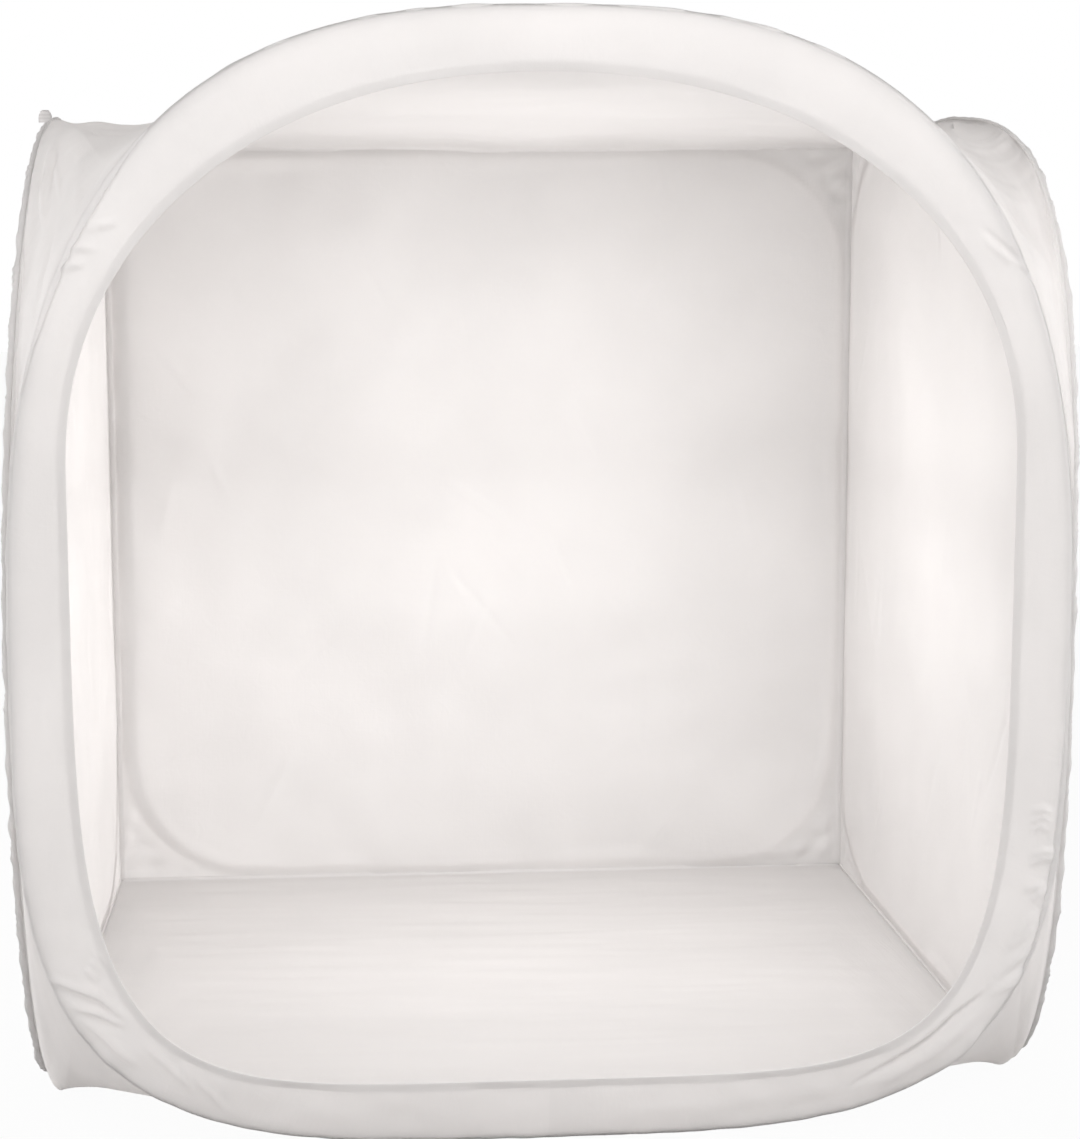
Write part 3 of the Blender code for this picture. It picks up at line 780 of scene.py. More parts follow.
def near_spots(x, z, spots):
    """Strength from 0 to 1 near given (x, z, radius, strength) places."""
    total = 0 * x
    for spot_x, spot_z, radius, strength in spots:
        total = total + strength * np.exp(-((x - spot_x) ** 2 + (z - spot_z) ** 2) / radius**2)
    return np.clip(total, 0, 1)


# Where the ring's cloth is gathered, as (x, z, radius, strength): low on the right, at the shoulders and low
# on the left, and how strongly elsewhere
GATHERED = (
    (0.78, 0.42, 0.15, 1.0),
    (0.73, 0.24, 0.10, 0.8),
    (0.79, 0.62, 0.16, 0.4),
    (-0.70, 1.34, 0.09, 0.7),
    (-0.62, 1.45, 0.08, 0.5),
    (0.63, 1.47, 0.06, 0.8),
    (-0.72, 0.22, 0.12, 0.35),
)
GATHERED_ELSEWHERE = 0.15

# Where the sleeve shows as a strip outside the band, the strip's width, and the band's inset elsewhere
STRIP_SHOWS = (
    (-0.70, 1.34, 0.13, 1.0),
    (-0.64, 1.44, 0.07, 0.6),
    (0.79, 0.46, 0.20, 0.9),
    (0.76, 0.26, 0.10, 0.5),
)
STRIP_WIDTH = 0.0095
BAND_INSET = 0.0010


def front_sleeve(form):
    """The sleeve of the front hoop, which outlines the ring behind the band."""
    outline = ring(form.sleeve_width / 2, RING_SLEEVE_STEPS)
    path = np.column_stack([outline[:, 0], np.full(len(outline), RING_Y), outline[:, 1]])
    strength = GATHERED_ELSEWHERE + near_spots(outline[:, 0], outline[:, 1], GATHERED)

    def depth(turn):
        return strength * (0.4 + (1 - np.cos(2 * math.pi * turn)) / 2)

    swell = puckered(form, (11, 14), 1.0, depth, (0.09, 0.0006))
    profile = sleeve_profile(form.sleeve_width, form.sleeve_depth)
    made, length, round_it = tube("front_ring_sleeve", path, (0, -1, 0), profile, True, swell)
    thicken(made, form.cloth, -1)
    dress(made, "gathered_sleeve_nylon", "front_ring", ["front_channel"])


# Single folds on the band: width, depth and path in (x, z)
BAND_FOLDS = (
    (0.0036, -0.0042, ((-0.672, 1.420), (-0.690, 1.388), (-0.708, 1.351), (-0.724, 1.311), (-0.738, 1.273),
                       (-0.750, 1.232))),
    (0.0051, 0.0052, ((-0.714, 1.337), (-0.694, 1.345), (-0.673, 1.348))),
    (0.0051, 0.0048, ((-0.698, 1.366), (-0.679, 1.371), (-0.654, 1.369))),
    (0.0051, 0.0044, ((-0.673, 1.396), (-0.650, 1.402), (-0.624, 1.407))),
    (0.0052, -0.0046, ((0.645, 1.395), (0.684, 1.362), (0.718, 1.338))),
    (0.0052, -0.0042, ((0.684, 1.351), (0.713, 1.328), (0.735, 1.313))),
    (0.0060, 0.0048, ((0.652, 1.379), (0.684, 1.350), (0.716, 1.329))),
    (0.0055, 0.0081, ((-0.756, 0.278), (-0.716, 0.265), (-0.685, 0.255), (-0.636, 0.218))),
    (0.0070, -0.0056, ((-0.745, 0.262), (-0.712, 0.250), (-0.680, 0.240), (-0.645, 0.211))),
    (0.0050, 0.0062, ((-0.722, 0.233), (-0.680, 0.226), (-0.640, 0.208))),
    (0.0065, -0.0045, ((-0.712, 0.222), (-0.680, 0.213), (-0.644, 0.197))),
    (0.0070, 0.0050, ((-0.712, 0.222), (-0.666, 0.180), (-0.622, 0.138))),
    (0.0060, 0.0028, ((-0.618, 0.183), (-0.577, 0.143), (-0.545, 0.107))),
    (0.0050, 0.0028, ((-0.557, 0.150), (-0.545, 0.100))),
    (0.0055, 0.0036, ((-0.540, 0.126), (-0.514, 0.097), (-0.490, 0.064))),
    (0.0050, 0.0040, ((-0.692, 0.310), (-0.672, 0.288))),
    (0.0050, 0.0040, ((-0.700, 0.298), (-0.679, 0.276))),
    (0.0050, 0.0032, ((-0.684, 0.323), (-0.664, 0.298))),
    (0.0050, 0.0052, ((0.742, 0.503), (0.762, 0.508), (0.781, 0.499))),
    (0.0050, 0.0048, ((0.743, 0.487), (0.762, 0.496), (0.777, 0.486))),
    (0.0050, 0.0044, ((0.745, 0.472), (0.759, 0.481), (0.773, 0.475))),
    (0.0051, 0.0052, ((0.746, 0.434), (0.764, 0.441), (0.788, 0.438))),
    (0.0051, 0.0048, ((0.741, 0.420), (0.764, 0.429), (0.788, 0.429))),
    (0.0051, 0.0048, ((0.736, 0.378), (0.768, 0.392))),
    (0.0051, 0.0048, ((0.746, 0.362), (0.770, 0.380))),
    (0.0060, 0.0068, ((0.720, 0.308), (0.758, 0.342))),
    (0.0063, 0.0072, ((0.710, 0.288), (0.741, 0.311), (0.766, 0.325))),
    (0.0063, 0.0072, ((0.702, 0.259), (0.735, 0.288), (0.760, 0.309))),
    (0.0063, 0.0068, ((0.690, 0.240), (0.723, 0.268), (0.754, 0.289))),
    (0.0067, 0.0068, ((0.678, 0.224), (0.714, 0.239), (0.734, 0.245), (0.756, 0.246))),
    (0.0067, 0.0060, ((0.662, 0.212), (0.713, 0.228), (0.750, 0.236))),
    (0.0140, -0.0060, ((0.668, 0.118), (0.701, 0.157), (0.732, 0.196))),
    (0.0180, 0.0040, ((0.590, 0.072), (0.640, 0.110), (0.690, 0.190))),
    (0.0050, -0.0112, ((0.700, 0.236), (0.634, 0.191), (0.578, 0.144), (0.470, 0.078))),
    (0.0120, 0.0070, ((0.712, 0.226), (0.650, 0.176), (0.592, 0.129), (0.480, 0.062))),
    (0.0180, 0.0024, ((0.300, 0.068), (0.141, 0.048), (0.017, 0.039))),
    (0.0150, -0.0020, ((0.500, 0.070), (0.391, 0.043), (0.260, 0.032))),
)

# The band's edge: how far its roll reaches into the opening, the roll's radius, the height below which it
# leans forward, and the share of the band over which its folds die out at the roll
LIP = -0.002
ROLL_RADIUS = 0.0013
LEANS_BELOW = 0.75
ROLL_COVERS = 0.15
BAND_STEPS = 1480
BAND_ROWS = 24
ROLL_ROWS = 6
HEM_ROWS = 4


def band_section(form, edge, inset, wide):
    """The band's section all round: how low it lies, its rows' shares, distances in from the ring, and y."""
    low = np.clip((LEANS_BELOW - edge[:, 1]) / LEANS_BELOW, 0, 1)
    share = np.linspace(0, 1, BAND_ROWS + 1)[:, None] ** 0.9
    t = inset + (wide - ROLL_RADIUS - inset) * share
    curl = form.band_setback * np.clip((share - 0.45) / 0.55, 0, 1) ** 1.8
    crown = form.band_crown * np.sin(math.pi * share**0.62) * (1 - 0.4 * low)
    start = 0.35 + 0.5 * low
    on_sleeve = start + (1 - start) * np.clip(share / 0.035, 0, 1) ** 0.5
    y = RING_Y - form.sleeve_depth / 2 * on_sleeve - crown + curl
    low_corner = np.exp(-(((np.abs(edge[:, 0]) - 0.62) / 0.20) ** 2) - ((edge[:, 1] - 0.15) / 0.22) ** 2)
    y = y - form.foot_lean * (1 + 0.4 * low_corner) * low**1.2 * share
    return low, share, t, y


def front_band(form):
    """The cloth of the front, from the ring's sleeve to the opening's edge, where it rolls back into its hem.

    Returns the points of the hem.
    """
    edge, lip = ring(0.0, BAND_STEPS), opening(LIP, BAND_STEPS)
    wide = np.linalg.norm(lip - edge, axis=1)
    inward = (lip - edge) / wide[:, None]
    inset = BAND_INSET + STRIP_WIDTH * near_spots(edge[:, 0], edge[:, 1], STRIP_SHOWS)
    low, share, t, y = band_section(form, edge, inset, wide)
    flat = np.broadcast_to(1 - share, t.shape)
    lean = np.arctan((y[-1] - y[-2]) / (t[-1] - t[-2]))
    turn = lean + math.pi * np.linspace(0, 1, ROLL_ROWS + 1)[1:, None]
    y = np.vstack([y, y[-1] + ROLL_RADIUS * (np.cos(lean) - np.cos(turn))])
    t = np.vstack([t, t[-1] + ROLL_RADIUS * (np.sin(turn) - np.sin(lean))])
    flat = np.vstack([flat, 0 * turn])
    hem = form.hem_width * np.linspace(0, 1, HEM_ROWS + 1)[:, None]
    hem_t, hem_y = t[-1] - hem * np.cos(lean), y[-1] - hem * np.sin(lean)
    hem_x, hem_z = (edge[:, axis] + inward[:, axis] * hem_t for axis in (0, 1))
    hem_points = np.stack([hem_x, hem_y, hem_z], axis=-1)
    x, z = (edge[:, axis] + inward[:, axis] * t for axis in (0, 1))
    points = np.stack([x, y, z], axis=-1)
    s = np.concatenate([[0.0], np.cumsum(np.linalg.norm(np.diff(edge, axis=0), axis=1))])[None, :] + 0 * t
    strength = near_spots(x, z, GATHERED)
    height = gathers(21, s, t - inset, form.gather_pitch * 1.2, 0.020) * form.gather_depth * 1.2 * strength
    height += waves(41, x, z, 0.22) * 0.0010 * (1 - flat) + waves(42, x, z, 0.07) * 0.0005 * (low + 0.15)
    height += along_lines(np.stack([x, z], axis=-1), BAND_FOLDS)
    points = lift(points, height * edge_fade(s) * np.clip(flat / ROLL_COVERS, 0, 1), closed=True)
    points[:, -1] = points[:, 0]
    made = cloth_grid("front_band", points, (s[0, -1], float(t.max())), (0, 0.2, 0.8))
    thicken(made, form.cloth, -1)
    dress(made, "woven_diffusion_nylon", "front_ring", ["front_band"])
    return hem_points


def opening_hem(form, points):
    """The edge of the band's cloth, turned back behind it all round the opening, through the points given."""
    length = float(np.linalg.norm(np.diff(points[0], axis=0), axis=1).sum())
    points[:, -1] = points[:, 0]
    made = cloth_grid("opening_hem", points, (length, form.hem_width), (0, -2, 0.8))
    thicken(made, form.cloth / 2)
    dress(made, "woven_diffusion_nylon", "front_ring", ["opening_hem"])


class TENT_OT_front_ring(Operator):
    """Adds the front ring's sleeve, the band of cloth inside it and the opening's hem"""

    bl_idname = "tent.front_ring"
    bl_label = "Front ring"
    bl_options = {"REGISTER", "UNDO"}

    def execute(self, context):
        form = context.scene.tent_form
        front_sleeve(form)
        opening_hem(form, front_band(form))
        return {"FINISHED"}


# Back wall


def back_loop(inset, count=BACK_SLEEVE_STEPS):
    """A rounded square on the back wall, in (x, z), moved in from the wall's edges."""
    half, low, high = BACK_HIGH.x, GAP, BACK_HIGH.z
    near = inset + HOOP_CORNER
    flat = np.vstack(
        [
            [(0, low + inset)],
            corner((half - near, low + near), HOOP_CORNER, -90),
            corner((half - near, high - near), HOOP_CORNER, 0),
            corner((near - half, high - near), HOOP_CORNER, 90),
            corner((near - half, low + near), HOOP_CORNER, 180),
            [(0, low + inset)],
        ]
    )
    return even(flat, count)


def hoop_mark(distance, width):
    """How far a wall is pushed by the sleeve sewn to it: a low ridge between two stitch lines."""
    ridge = np.exp(-((distance / (width * 0.42)) ** 4))
    stitches = np.exp(-(((np.abs(distance) - width / 2) / 0.0035) ** 2))
    return ridge - 0.6 * stitches


# Relief of a hooped wall, in metres: how far its hoop pushes it, then (size, height) of its large swells, its
# small swells and its slack corners, (reach, height) of the puckers at its hoop, and folds for scattered()
BACK_RELIEF = (
    0.0010,
    (0.50, 0.0022),
    (0.17, 0.0008),
    (0.06, 0.0022),
    (0.030, 0.0007),
    (26, (-0.7, 0.05), (0.7, 1.45), (35, 145), (0.10, 0.35), (0.006, 0.014), (0.0006, 0.0018)),
)
SIDE_RELIEF = (
    0.0014,
    (0.55, 0.0024),
    (0.16, 0.0009),
    (0.05, 0.0020),
    (0.035, 0.0008),
    (30, (0.1, 0.1), (1.4, 1.45), (50, 130), (0.12, 0.45), (0.006, 0.016), (0.0008, 0.0024)),
)


def wall_relief(relief, seed, across, up, off, rim, sleeve_width):
    """Height of a hooped wall's cloth, for its distances off its hoop, below 0 inside it, and from its rim.

    It is kept off the sleeve behind it and dies out at the seams.
    """
    push, large, small, slack, puckers, folds = relief
    height = -push * hoop_mark(off, sleeve_width)
    height += swells([(seed + 1, *large), (seed + 2, *small)], across, up)
    height += swells([(seed + 3, *slack)], across, up) * np.clip(off / 0.05, 0, 1)
    height += gathers(seed + 4, across + up, np.abs(off), 0.02, puckers[0]) * puckers[1]
    height += creases(across, up, scattered(seed + 5, *folds))
    height -= np.maximum(height, 0) * np.exp(-((off / SEAM_REACH) ** 4))
    return height * np.clip(rim / SEAM_REACH, 0, 1)


def back_wall(form):
    """The back wall, with its hoop showing through as a rounded square."""
    steps = BACK_WALL_STEPS + 1
    half, low, high = BACK_HIGH.x, GAP, BACK_HIGH.z
    x = np.linspace(-half, half, steps)[None, :] + np.zeros((steps, 1))
    z = np.linspace(low, high, steps)[:, None] + np.zeros((1, steps))
    off = off_path(x, z, even(back_loop(BACK_HOOP_INSET), HOOP_STEPS))
    rim = np.minimum.reduce([x + half, half - x, z - low, high - z])
    height = wall_relief(BACK_RELIEF, 60, x, z, off, rim, form.sleeve_width) - seam_pull(half - np.abs(x))
    points = np.stack([x, BACK_Y + CLOTH_MIDDLE + height, z], axis=-1)
    made = cloth_grid("back_wall", points, (2 * half, high - low), (0, 0, 0.75))
    thicken(made, form.cloth)
    dress(made, "woven_diffusion_nylon", "back_panel", ["back_wall"])


def back_sleeve(form):
    """The back hoop's sleeve, sewn to the outside of the wall."""
    outline = back_loop(BACK_HOOP_INSET)
    y = BACK_Y + SKIN + form.sleeve_depth / 2
    path = np.column_stack([outline[:, 0], np.full(len(outline), y), outline[:, 1]])
    swell = puckered(form, (71, 72), 1.0, lambda turn: 1.0, (0.07, 0.0006))
    profile = flat_profile(form.sleeve_width, form.sleeve_depth, 20)
    made, length, round_it = tube("back_sleeve", path, (0, 1, 0), profile, True, swell)
    thicken(made, form.cloth, -1)
    dress(made, "gathered_sleeve_nylon", "back_panel", ["back_channel"])


def back_seams():
    """Bound seams along the four edges of the back wall, the level ones between the upright ones."""
    half, low, high = BACK_HIGH.x, GAP, BACK_HIGH.z
    width, depth, inset = 0.007, 0.0030, 0.003
    runs = {
        "back_seam_left": ((inset - half, low), (inset - half, high)),
        "back_seam_right": ((half - inset, low), (half - inset, high)),
        "back_seam_bottom": ((width - half, low + inset), (half - width, low + inset)),
        "back_seam_top": ((width - half, high - inset), (half - width, high - inset)),
    }
    for index, (name, (start, end)) in enumerate(runs.items()):
        share = np.linspace(0, 1, BACK_SEAM_STEPS + 1)[:, None]
        flat = np.array(start) * (1 - share) + np.array(end) * share
        path = np.column_stack([flat[:, 0], np.full(len(flat), BACK_Y + SKIN), flat[:, 1]])
        made = bind(name, path, (0, 1, 0), width, depth, 81 + index)
        dress(made, "woven_binding_tape", "back_panel", [name])


def bind(name, path, normal, width, depth, seed):
    """Tape folded over a seam: a strip with closed ends and a fine uneven surface."""

    def swell(s, turn):
        return (waves(seed, s, turn * 0.01, 0.05) + gathers(seed, s, 0 * s, 0.011, 1.0)) * 0.0003

    made, _, _ = tube(name, path, normal, flat_profile(width, depth, 10), False, swell)
    select(made)
    bpy.ops.object.mode_set(mode="EDIT")
    bpy.ops.mesh.select_all(action="DESELECT")
    bpy.ops.mesh.select_mode(type="EDGE")
    bpy.ops.mesh.select_non_manifold()
    bpy.ops.mesh.edge_face_add()
    bpy.ops.mesh.select_mode(type="VERT")
    bpy.ops.mesh.select_all(action="SELECT")
    bpy.ops.mesh.normals_make_consistent(inside=False)
    bpy.ops.object.mode_set(mode="OBJECT")
    return made


class TENT_OT_back_wall(Operator):
    """Adds the back wall, its hoop's sleeve and the bound seams round it"""

    bl_idname = "tent.back_wall"
    bl_label = "Back wall"
    bl_options = {"REGISTER", "UNDO"}

    def execute(self, context):
        form = context.scene.tent_form
        back_wall(form)
        back_sleeve(form)
        back_seams()
        return {"FINISHED"}


# Side walls


def side_hoop(side):
    """The side hoop's closed path in (along, up), from the floor behind the fold towards the front."""
    near = SIDE_HOOP_INSET + HOOP_CORNER
    start = [(FOLD_ALONG / 2, GAP + SIDE_HOOP_INSET)]
    upper = corner((near, wall_top(near) - GAP - near), HOOP_CORNER, 90)
    lower = corner((near, GAP + near), HOOP_CORNER, 180)
    return np.vstack([start, bow(side, SIDE_HOOP_INSET), upper, lower, start])


def wall_outline(side):
    """A side wall's closed outline in (along, up)."""
    return np.vstack([[(0.0, GAP)], bow(side), [(0.0, BACK_HEIGHT - GAP), (0.0, GAP)]])


def side_wall(name, side, form):
    """One side wall as one sheet across its fold line."""
    far = bow(side, 0.0, SIDE_WALL_ROWS)
    near = np.column_stack([0 * far[:, 0] - INTO_SEAM, np.linspace(GAP, BACK_HEIGHT - GAP, len(far))])
    share = np.linspace(0, 1, SIDE_WALL_COLUMNS + 1)[None, :]
    along, up = (near[:, None, axis] * (1 - share) + far[:, None, axis] * share for axis in (0, 1))
    off = off_path(along, up, even(side_hoop(side), HOOP_STEPS))
    rim = -off_path(along, up, even(wall_outline(side), HOOP_STEPS))
    out = wall_relief(SIDE_RELIEF, SEEDS[side], along, up, off, rim, form.sleeve_width)
    points = side_place(side, along, np.maximum(up, WALL_LOWEST), out + CLOTH_MIDDLE)
    made = cloth_grid(f"{name}_wall", points, (SIDE_LENGTH, FRONT_HEIGHT), (0, 0, 0.75))
    thicken(made, form.cloth)
    dress(made, "woven_diffusion_nylon", None, [f"{name}_wall_rear", f"{name}_wall_front"])
    bend(made, name)


def bend(obj, name):
    """Bakes a piece's transform into its mesh. It finds the ends of the soft bend at the fold line but does
    not bend the piece.
    """
    reaches = (-FOLD_SOFTNESS, FOLD_SOFTNESS)
    start, end = (side_place(SIDES[name], FOLD_ALONG + reach, 0.0, 0.0) for reach in reaches)
    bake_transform(obj)


def side_normal(side):
    """The way out through a side wall."""
    return (side * RUN, SPREAD, 0.0)


def side_sleeve(name, side, form):
    """A side hoop's sleeve, sewn to the outside of its wall."""
    flat = even(side_hoop(side), SIDE_SLEEVE_STEPS)
    path = side_place(side, flat[:, 0], flat[:, 1], SKIN + form.sleeve_depth / 2)
    seed = SEEDS[side] + 20
    swell = puckered(form, (seed, seed + 1), 0.9, lambda turn: 1.3, (0.06, 0.0009))
    profile = flat_profile(form.sleeve_width, form.sleeve_depth, 18)
    made, length, round_it = tube(
        f"{name}_sleeve", path, side_normal(side), profile, True, swell, SIDE_SLEEVE_LOWEST
    )
    thicken(made, form.cloth, -1)
    nodes = [f"{name}_channel_rear", f"{name}_channel_front"]
    dress(made, "gathered_sleeve_nylon", None, nodes)
    bend(made, name)


def side_spring(name, side, form):
    """A side hoop of flat spring steel, in one strip across the fold line."""
    flat = even(side_hoop(side), SIDE_STEEL_STEPS)
    path = side_place(side, flat[:, 0], flat[:, 1], SKIN + form.sleeve_depth / 2)
    made, _, _ = tube(f"{name}_hoop", path, side_normal(side), strip_profile(STEEL_THICKNESS, STEEL_WIDTH))
    select(made)
    bpy.ops.object.shade_smooth_by_angle(angle=math.radians(40))
    dress(made, "blued_spring_steel", None, [f"{name}_hoop_rear", f"{name}_hoop_front"])
    bend(made, name)


def edge_seam(name, side, upper):
    """The bound seam between a side wall and the roof or the floor, from the ring round to the back."""
    curve = bow(side)
    if upper:
        curve = curve[curve[:, 1] > ROOF_JOINS_RING[side]]
        label, end, rise = "roof", BACK_HEIGHT - GAP, 0.0006
    else:
        curve = curve[curve[:, 1] < FLOOR_JOINS_RING[side]][::-1]
        label, end, rise = "floor", GAP + 0.002, 0.0024
    flat = even(np.vstack([curve, [(SEAM_END, end)]]), EDGE_SEAM_STEPS)
    path = side_place(side, flat[:, 0], flat[:, 1] + rise, 0.0004)
    made = bind(f"{name}_{label}_seam", path, side_normal(side), 0.0052, 0.0052, 140 + side + 3 * upper)
    dress(made, "gathered_sleeve_nylon")
    bend(made, name)


def corner_loop():
    """A folded webbing loop at the peak of the left wall, narrowed to a round top."""
    low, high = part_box("corner_loop")
    middle = (low + high) / 2
    half_open, thickness, rise = 0.0042, 0.0013, high.z - low.z
    angle = np.linspace(0, math.pi, 17)
    along = np.concatenate([[-half_open], -half_open * np.cos(angle), [half_open]])
    up = np.concatenate([[0], rise - half_open + half_open * np.sin(angle), [0]])
    forward = np.array([-SPREAD, -RUN, 0.0])
    path = np.array(middle)[None] + forward[None] * along[:, None]
    path[:, 2] = low.z + up
    made = bind("corner_loop", even(path, 60), side_normal(LEFT), thickness, high.x - low.x, 160)
    for vertex in made.data.vertices:
        over = max(0.0, (vertex.co.z - low.z) / rise - 0.35) / 0.75
        vertex.co.x = middle.x + (vertex.co.x - middle.x) * math.sqrt(1 - min(over, 0.99) ** 2)
    dress(made, "woven_binding_tape", "left_front", ["corner_loop"])


class TENT_OT_side_walls(Operator):
    """Adds both side walls with their hoops, sleeves, seams and the loop at the top left corner"""

    bl_idname = "tent.side_walls"
    bl_label = "Side walls"
    bl_options = {"REGISTER", "UNDO"}

    def execute(self, context):
        form = context.scene.tent_form
        for name, side in SIDES.items():
            side_spring(name, side, form)
            side_wall(name, side, form)
            side_sleeve(name, side, form)
            edge_seam(name, side, upper=True)
            edge_seam(name, side, upper=False)
        corner_loop()
        return {"FINISHED"}


# Roof and floor


def ring_edge(side, start, upper, runs, steps):
    """Half of the ring's outline behind its sleeve, from where the wall leaves it to the middle."""
    outline = ring(RING_SEAM_INSET, 16000)
    outline = outline[outline[:, 0] * side >= 0]
    arc = outline[outline[:, 1] >= start] if upper else outline[outline[:, 1] <= start]
    arc = np.column_stack([np.abs(arc[:, 0]), arc[:, 1]])
    arc = arc[np.argsort(arc[:, 1] - arc[:, 0] if upper else -arc[:, 1] - arc[:, 0])]
    edges = (arc[0, 0] + 1e-6, *runs, -1.0)
    pieces = [arc[:1]]
    for first, last, count in zip(edges, edges[1:], steps):
        inside = arc[(arc[:, 0] < first) & (arc[:, 0] >= last)]
        pieces.append(even(np.vstack([pieces[-1][-1:], inside]), count)[1:])
    flat = np.vstack(pieces)
    flat[-1, 0] = 0.0
    return np.column_stack([side * flat[:, 0], np.full(len(flat), SIDE_END_Y - GAP), flat[:, 1]])


def wall_edge(side, start, upper, rear, middle, steps):
    """A side wall's edge from the ring to the back wall, just inside its cloth, and on to the middle."""
    curve = bow(side, -GAP, 4000)
    curve = curve[curve[:, 1] >= start] if upper else curve[curve[:, 1] <= start][::-1]
    bent = even(curve, steps[0])
    run = np.linspace(0, 1, steps[1] + 1)[1:, None]
    back = bent[-1] * (1 - run) + np.array([-INTO_SEAM, rear]) * run
    flat = np.vstack([bent, back])
    edge = side_place(side, flat[:, 0], flat[:, 1], GAP)
    across = np.linspace(0, 1, steps[2] + 1)[1:, None]
    centre = np.array([0.0, edge[-1, 1], middle])
    return np.vstack([edge, edge[-1] * (1 - across) + centre * across])


def panel_grid(starts, upper, runs, rear, middle, rows, steps):
    """A grid of points from the ring back to the walls, with its last rows close together at the seam.

    Returns its edges, its points, its rows' shares from 0 to 1, its lines' lengths and places on the ring.
    """
    near = whole([ring_edge(side, starts[side], upper, runs, steps) for side in (LEFT, RIGHT)])
    far = whole([wall_edge(side, starts[side], upper, rear, middle, steps) for side in (LEFT, RIGHT)])
    seam = SEAM_PULL / DEPTH
    last = seam * (1 - np.cos(np.linspace(math.pi / 2, 0, SEAM_PULL_ROWS + 1)))[1:]
    share = np.concatenate([np.linspace(0, 1 - seam, rows - SEAM_PULL_ROWS + 1), 1 - last])[:, None]
    points = near[None] * (1 - share[..., None]) + far[None] * share[..., None]
    wide = np.linalg.norm(far - near, axis=1)[None, :]
    marks = np.concatenate([[0.0], np.cumsum(np.linalg.norm(np.diff(near, axis=0), axis=1))])[None, :]
    return near, far, points, share, wide, marks


def seam_pull(away):
    """How far a panel is drawn round to the wall that it is sewn to, by its distance from that wall."""
    near = np.clip(1 - away / SEAM_PULL, 0, 1)
    return SEAM_PULL * (1 - np.sqrt(1 - near**2))


def whole(halves):
    """Joins a left half that ends in the middle with a right half that does too."""
    left, right = halves
    return np.vstack([left, right[-2::-1]])


# Single folds on the roof's ears: width, depth and path in (x, y, z)
ROOF_FOLDS = (
    (0.0070, 0.0060, ((-0.757, -0.250, 1.532), (-0.758, -0.373, 1.476), (-0.759, -0.420, 1.449),
                      (-0.753, -0.530, 1.385))),
    (0.0060, -0.0040, ((-0.746, -0.290, 1.524), (-0.746, -0.385, 1.478), (-0.745, -0.450, 1.445),
                       (-0.738, -0.540, 1.395))),
    (0.0055, 0.0050, ((-0.745, -0.380, 1.485), (-0.729, -0.487, 1.448), (-0.720, -0.560, 1.415))),
    (0.0040, -0.0024, ((-0.745, -0.180, 1.541), (-0.692, -0.310, 1.530), (-0.645, -0.439, 1.529),
                       (-0.585, -0.700, 1.538))),
    (0.0060, 0.0022, ((-0.735, -0.200, 1.547), (-0.692, -0.300, 1.537), (-0.640, -0.445, 1.536),
                      (-0.590, -0.690, 1.545))),
    (0.0100, 0.0040, ((-0.700, -0.400, 1.510), (-0.690, -0.560, 1.455), (-0.690, -0.680, 1.410))),
    (0.0140, -0.0050, ((-0.735, -0.560, 1.400), (-0.735, -0.620, 1.345), (-0.740, -0.680, 1.280))),
    (0.0040, 0.0030, ((0.788, -0.600, 1.420), (0.786, -0.664, 1.337), (0.784, -0.700, 1.260))),
    (0.0160, -0.0050, ((0.690, -0.560, 1.500), (0.725, -0.590, 1.450), (0.750, -0.640, 1.380))),
    (0.0140, 0.0050, ((0.720, -0.480, 1.525), (0.752, -0.530, 1.470), (0.768, -0.600, 1.390))),
)

# How the roof swells or dips beside the left ear's peak: x, width and rise
EAR_SWELLS = ((-0.705, 0.030, 0.007), (-0.600, 0.060, -0.019))

# Random swells of the roof and of its ears, as (seed, size, height)
ROOF_SWELLS = ((301, 0.45, 0.0035), (302, 0.15, 0.0010))
EAR_CRINKLE = (306, 0.12, 0.0012)
EAR_FINE_CRINKLE = (307, 0.035, 0.0004)

# Random folds of the roof and the floor, for scattered(): those on the floor run across it
ROOF_CREASES = (34, (-0.7, -0.7), (0.7, 0.7), (60, 120), (0.15, 0.5), (0.010, 0.024), (0.001, 0.003))
FLOOR_CREASES = (70, (-0.7, -0.7), (0.7, 0.7), (-10, 10), (0.15, 0.6), (0.006, 0.014), (0.0015, 0.0035))


def sewn_panel(name, points, marks, form, node):
    """Makes the roof or the floor of its grid. It rides on the back wall."""
    made = cloth_grid(name, points, (marks[0, -1], DEPTH), (0, 0, 0.75))
    thicken(made, form.cloth)
    dress(made, "woven_diffusion_nylon", "back_panel", [node])
    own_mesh(made)


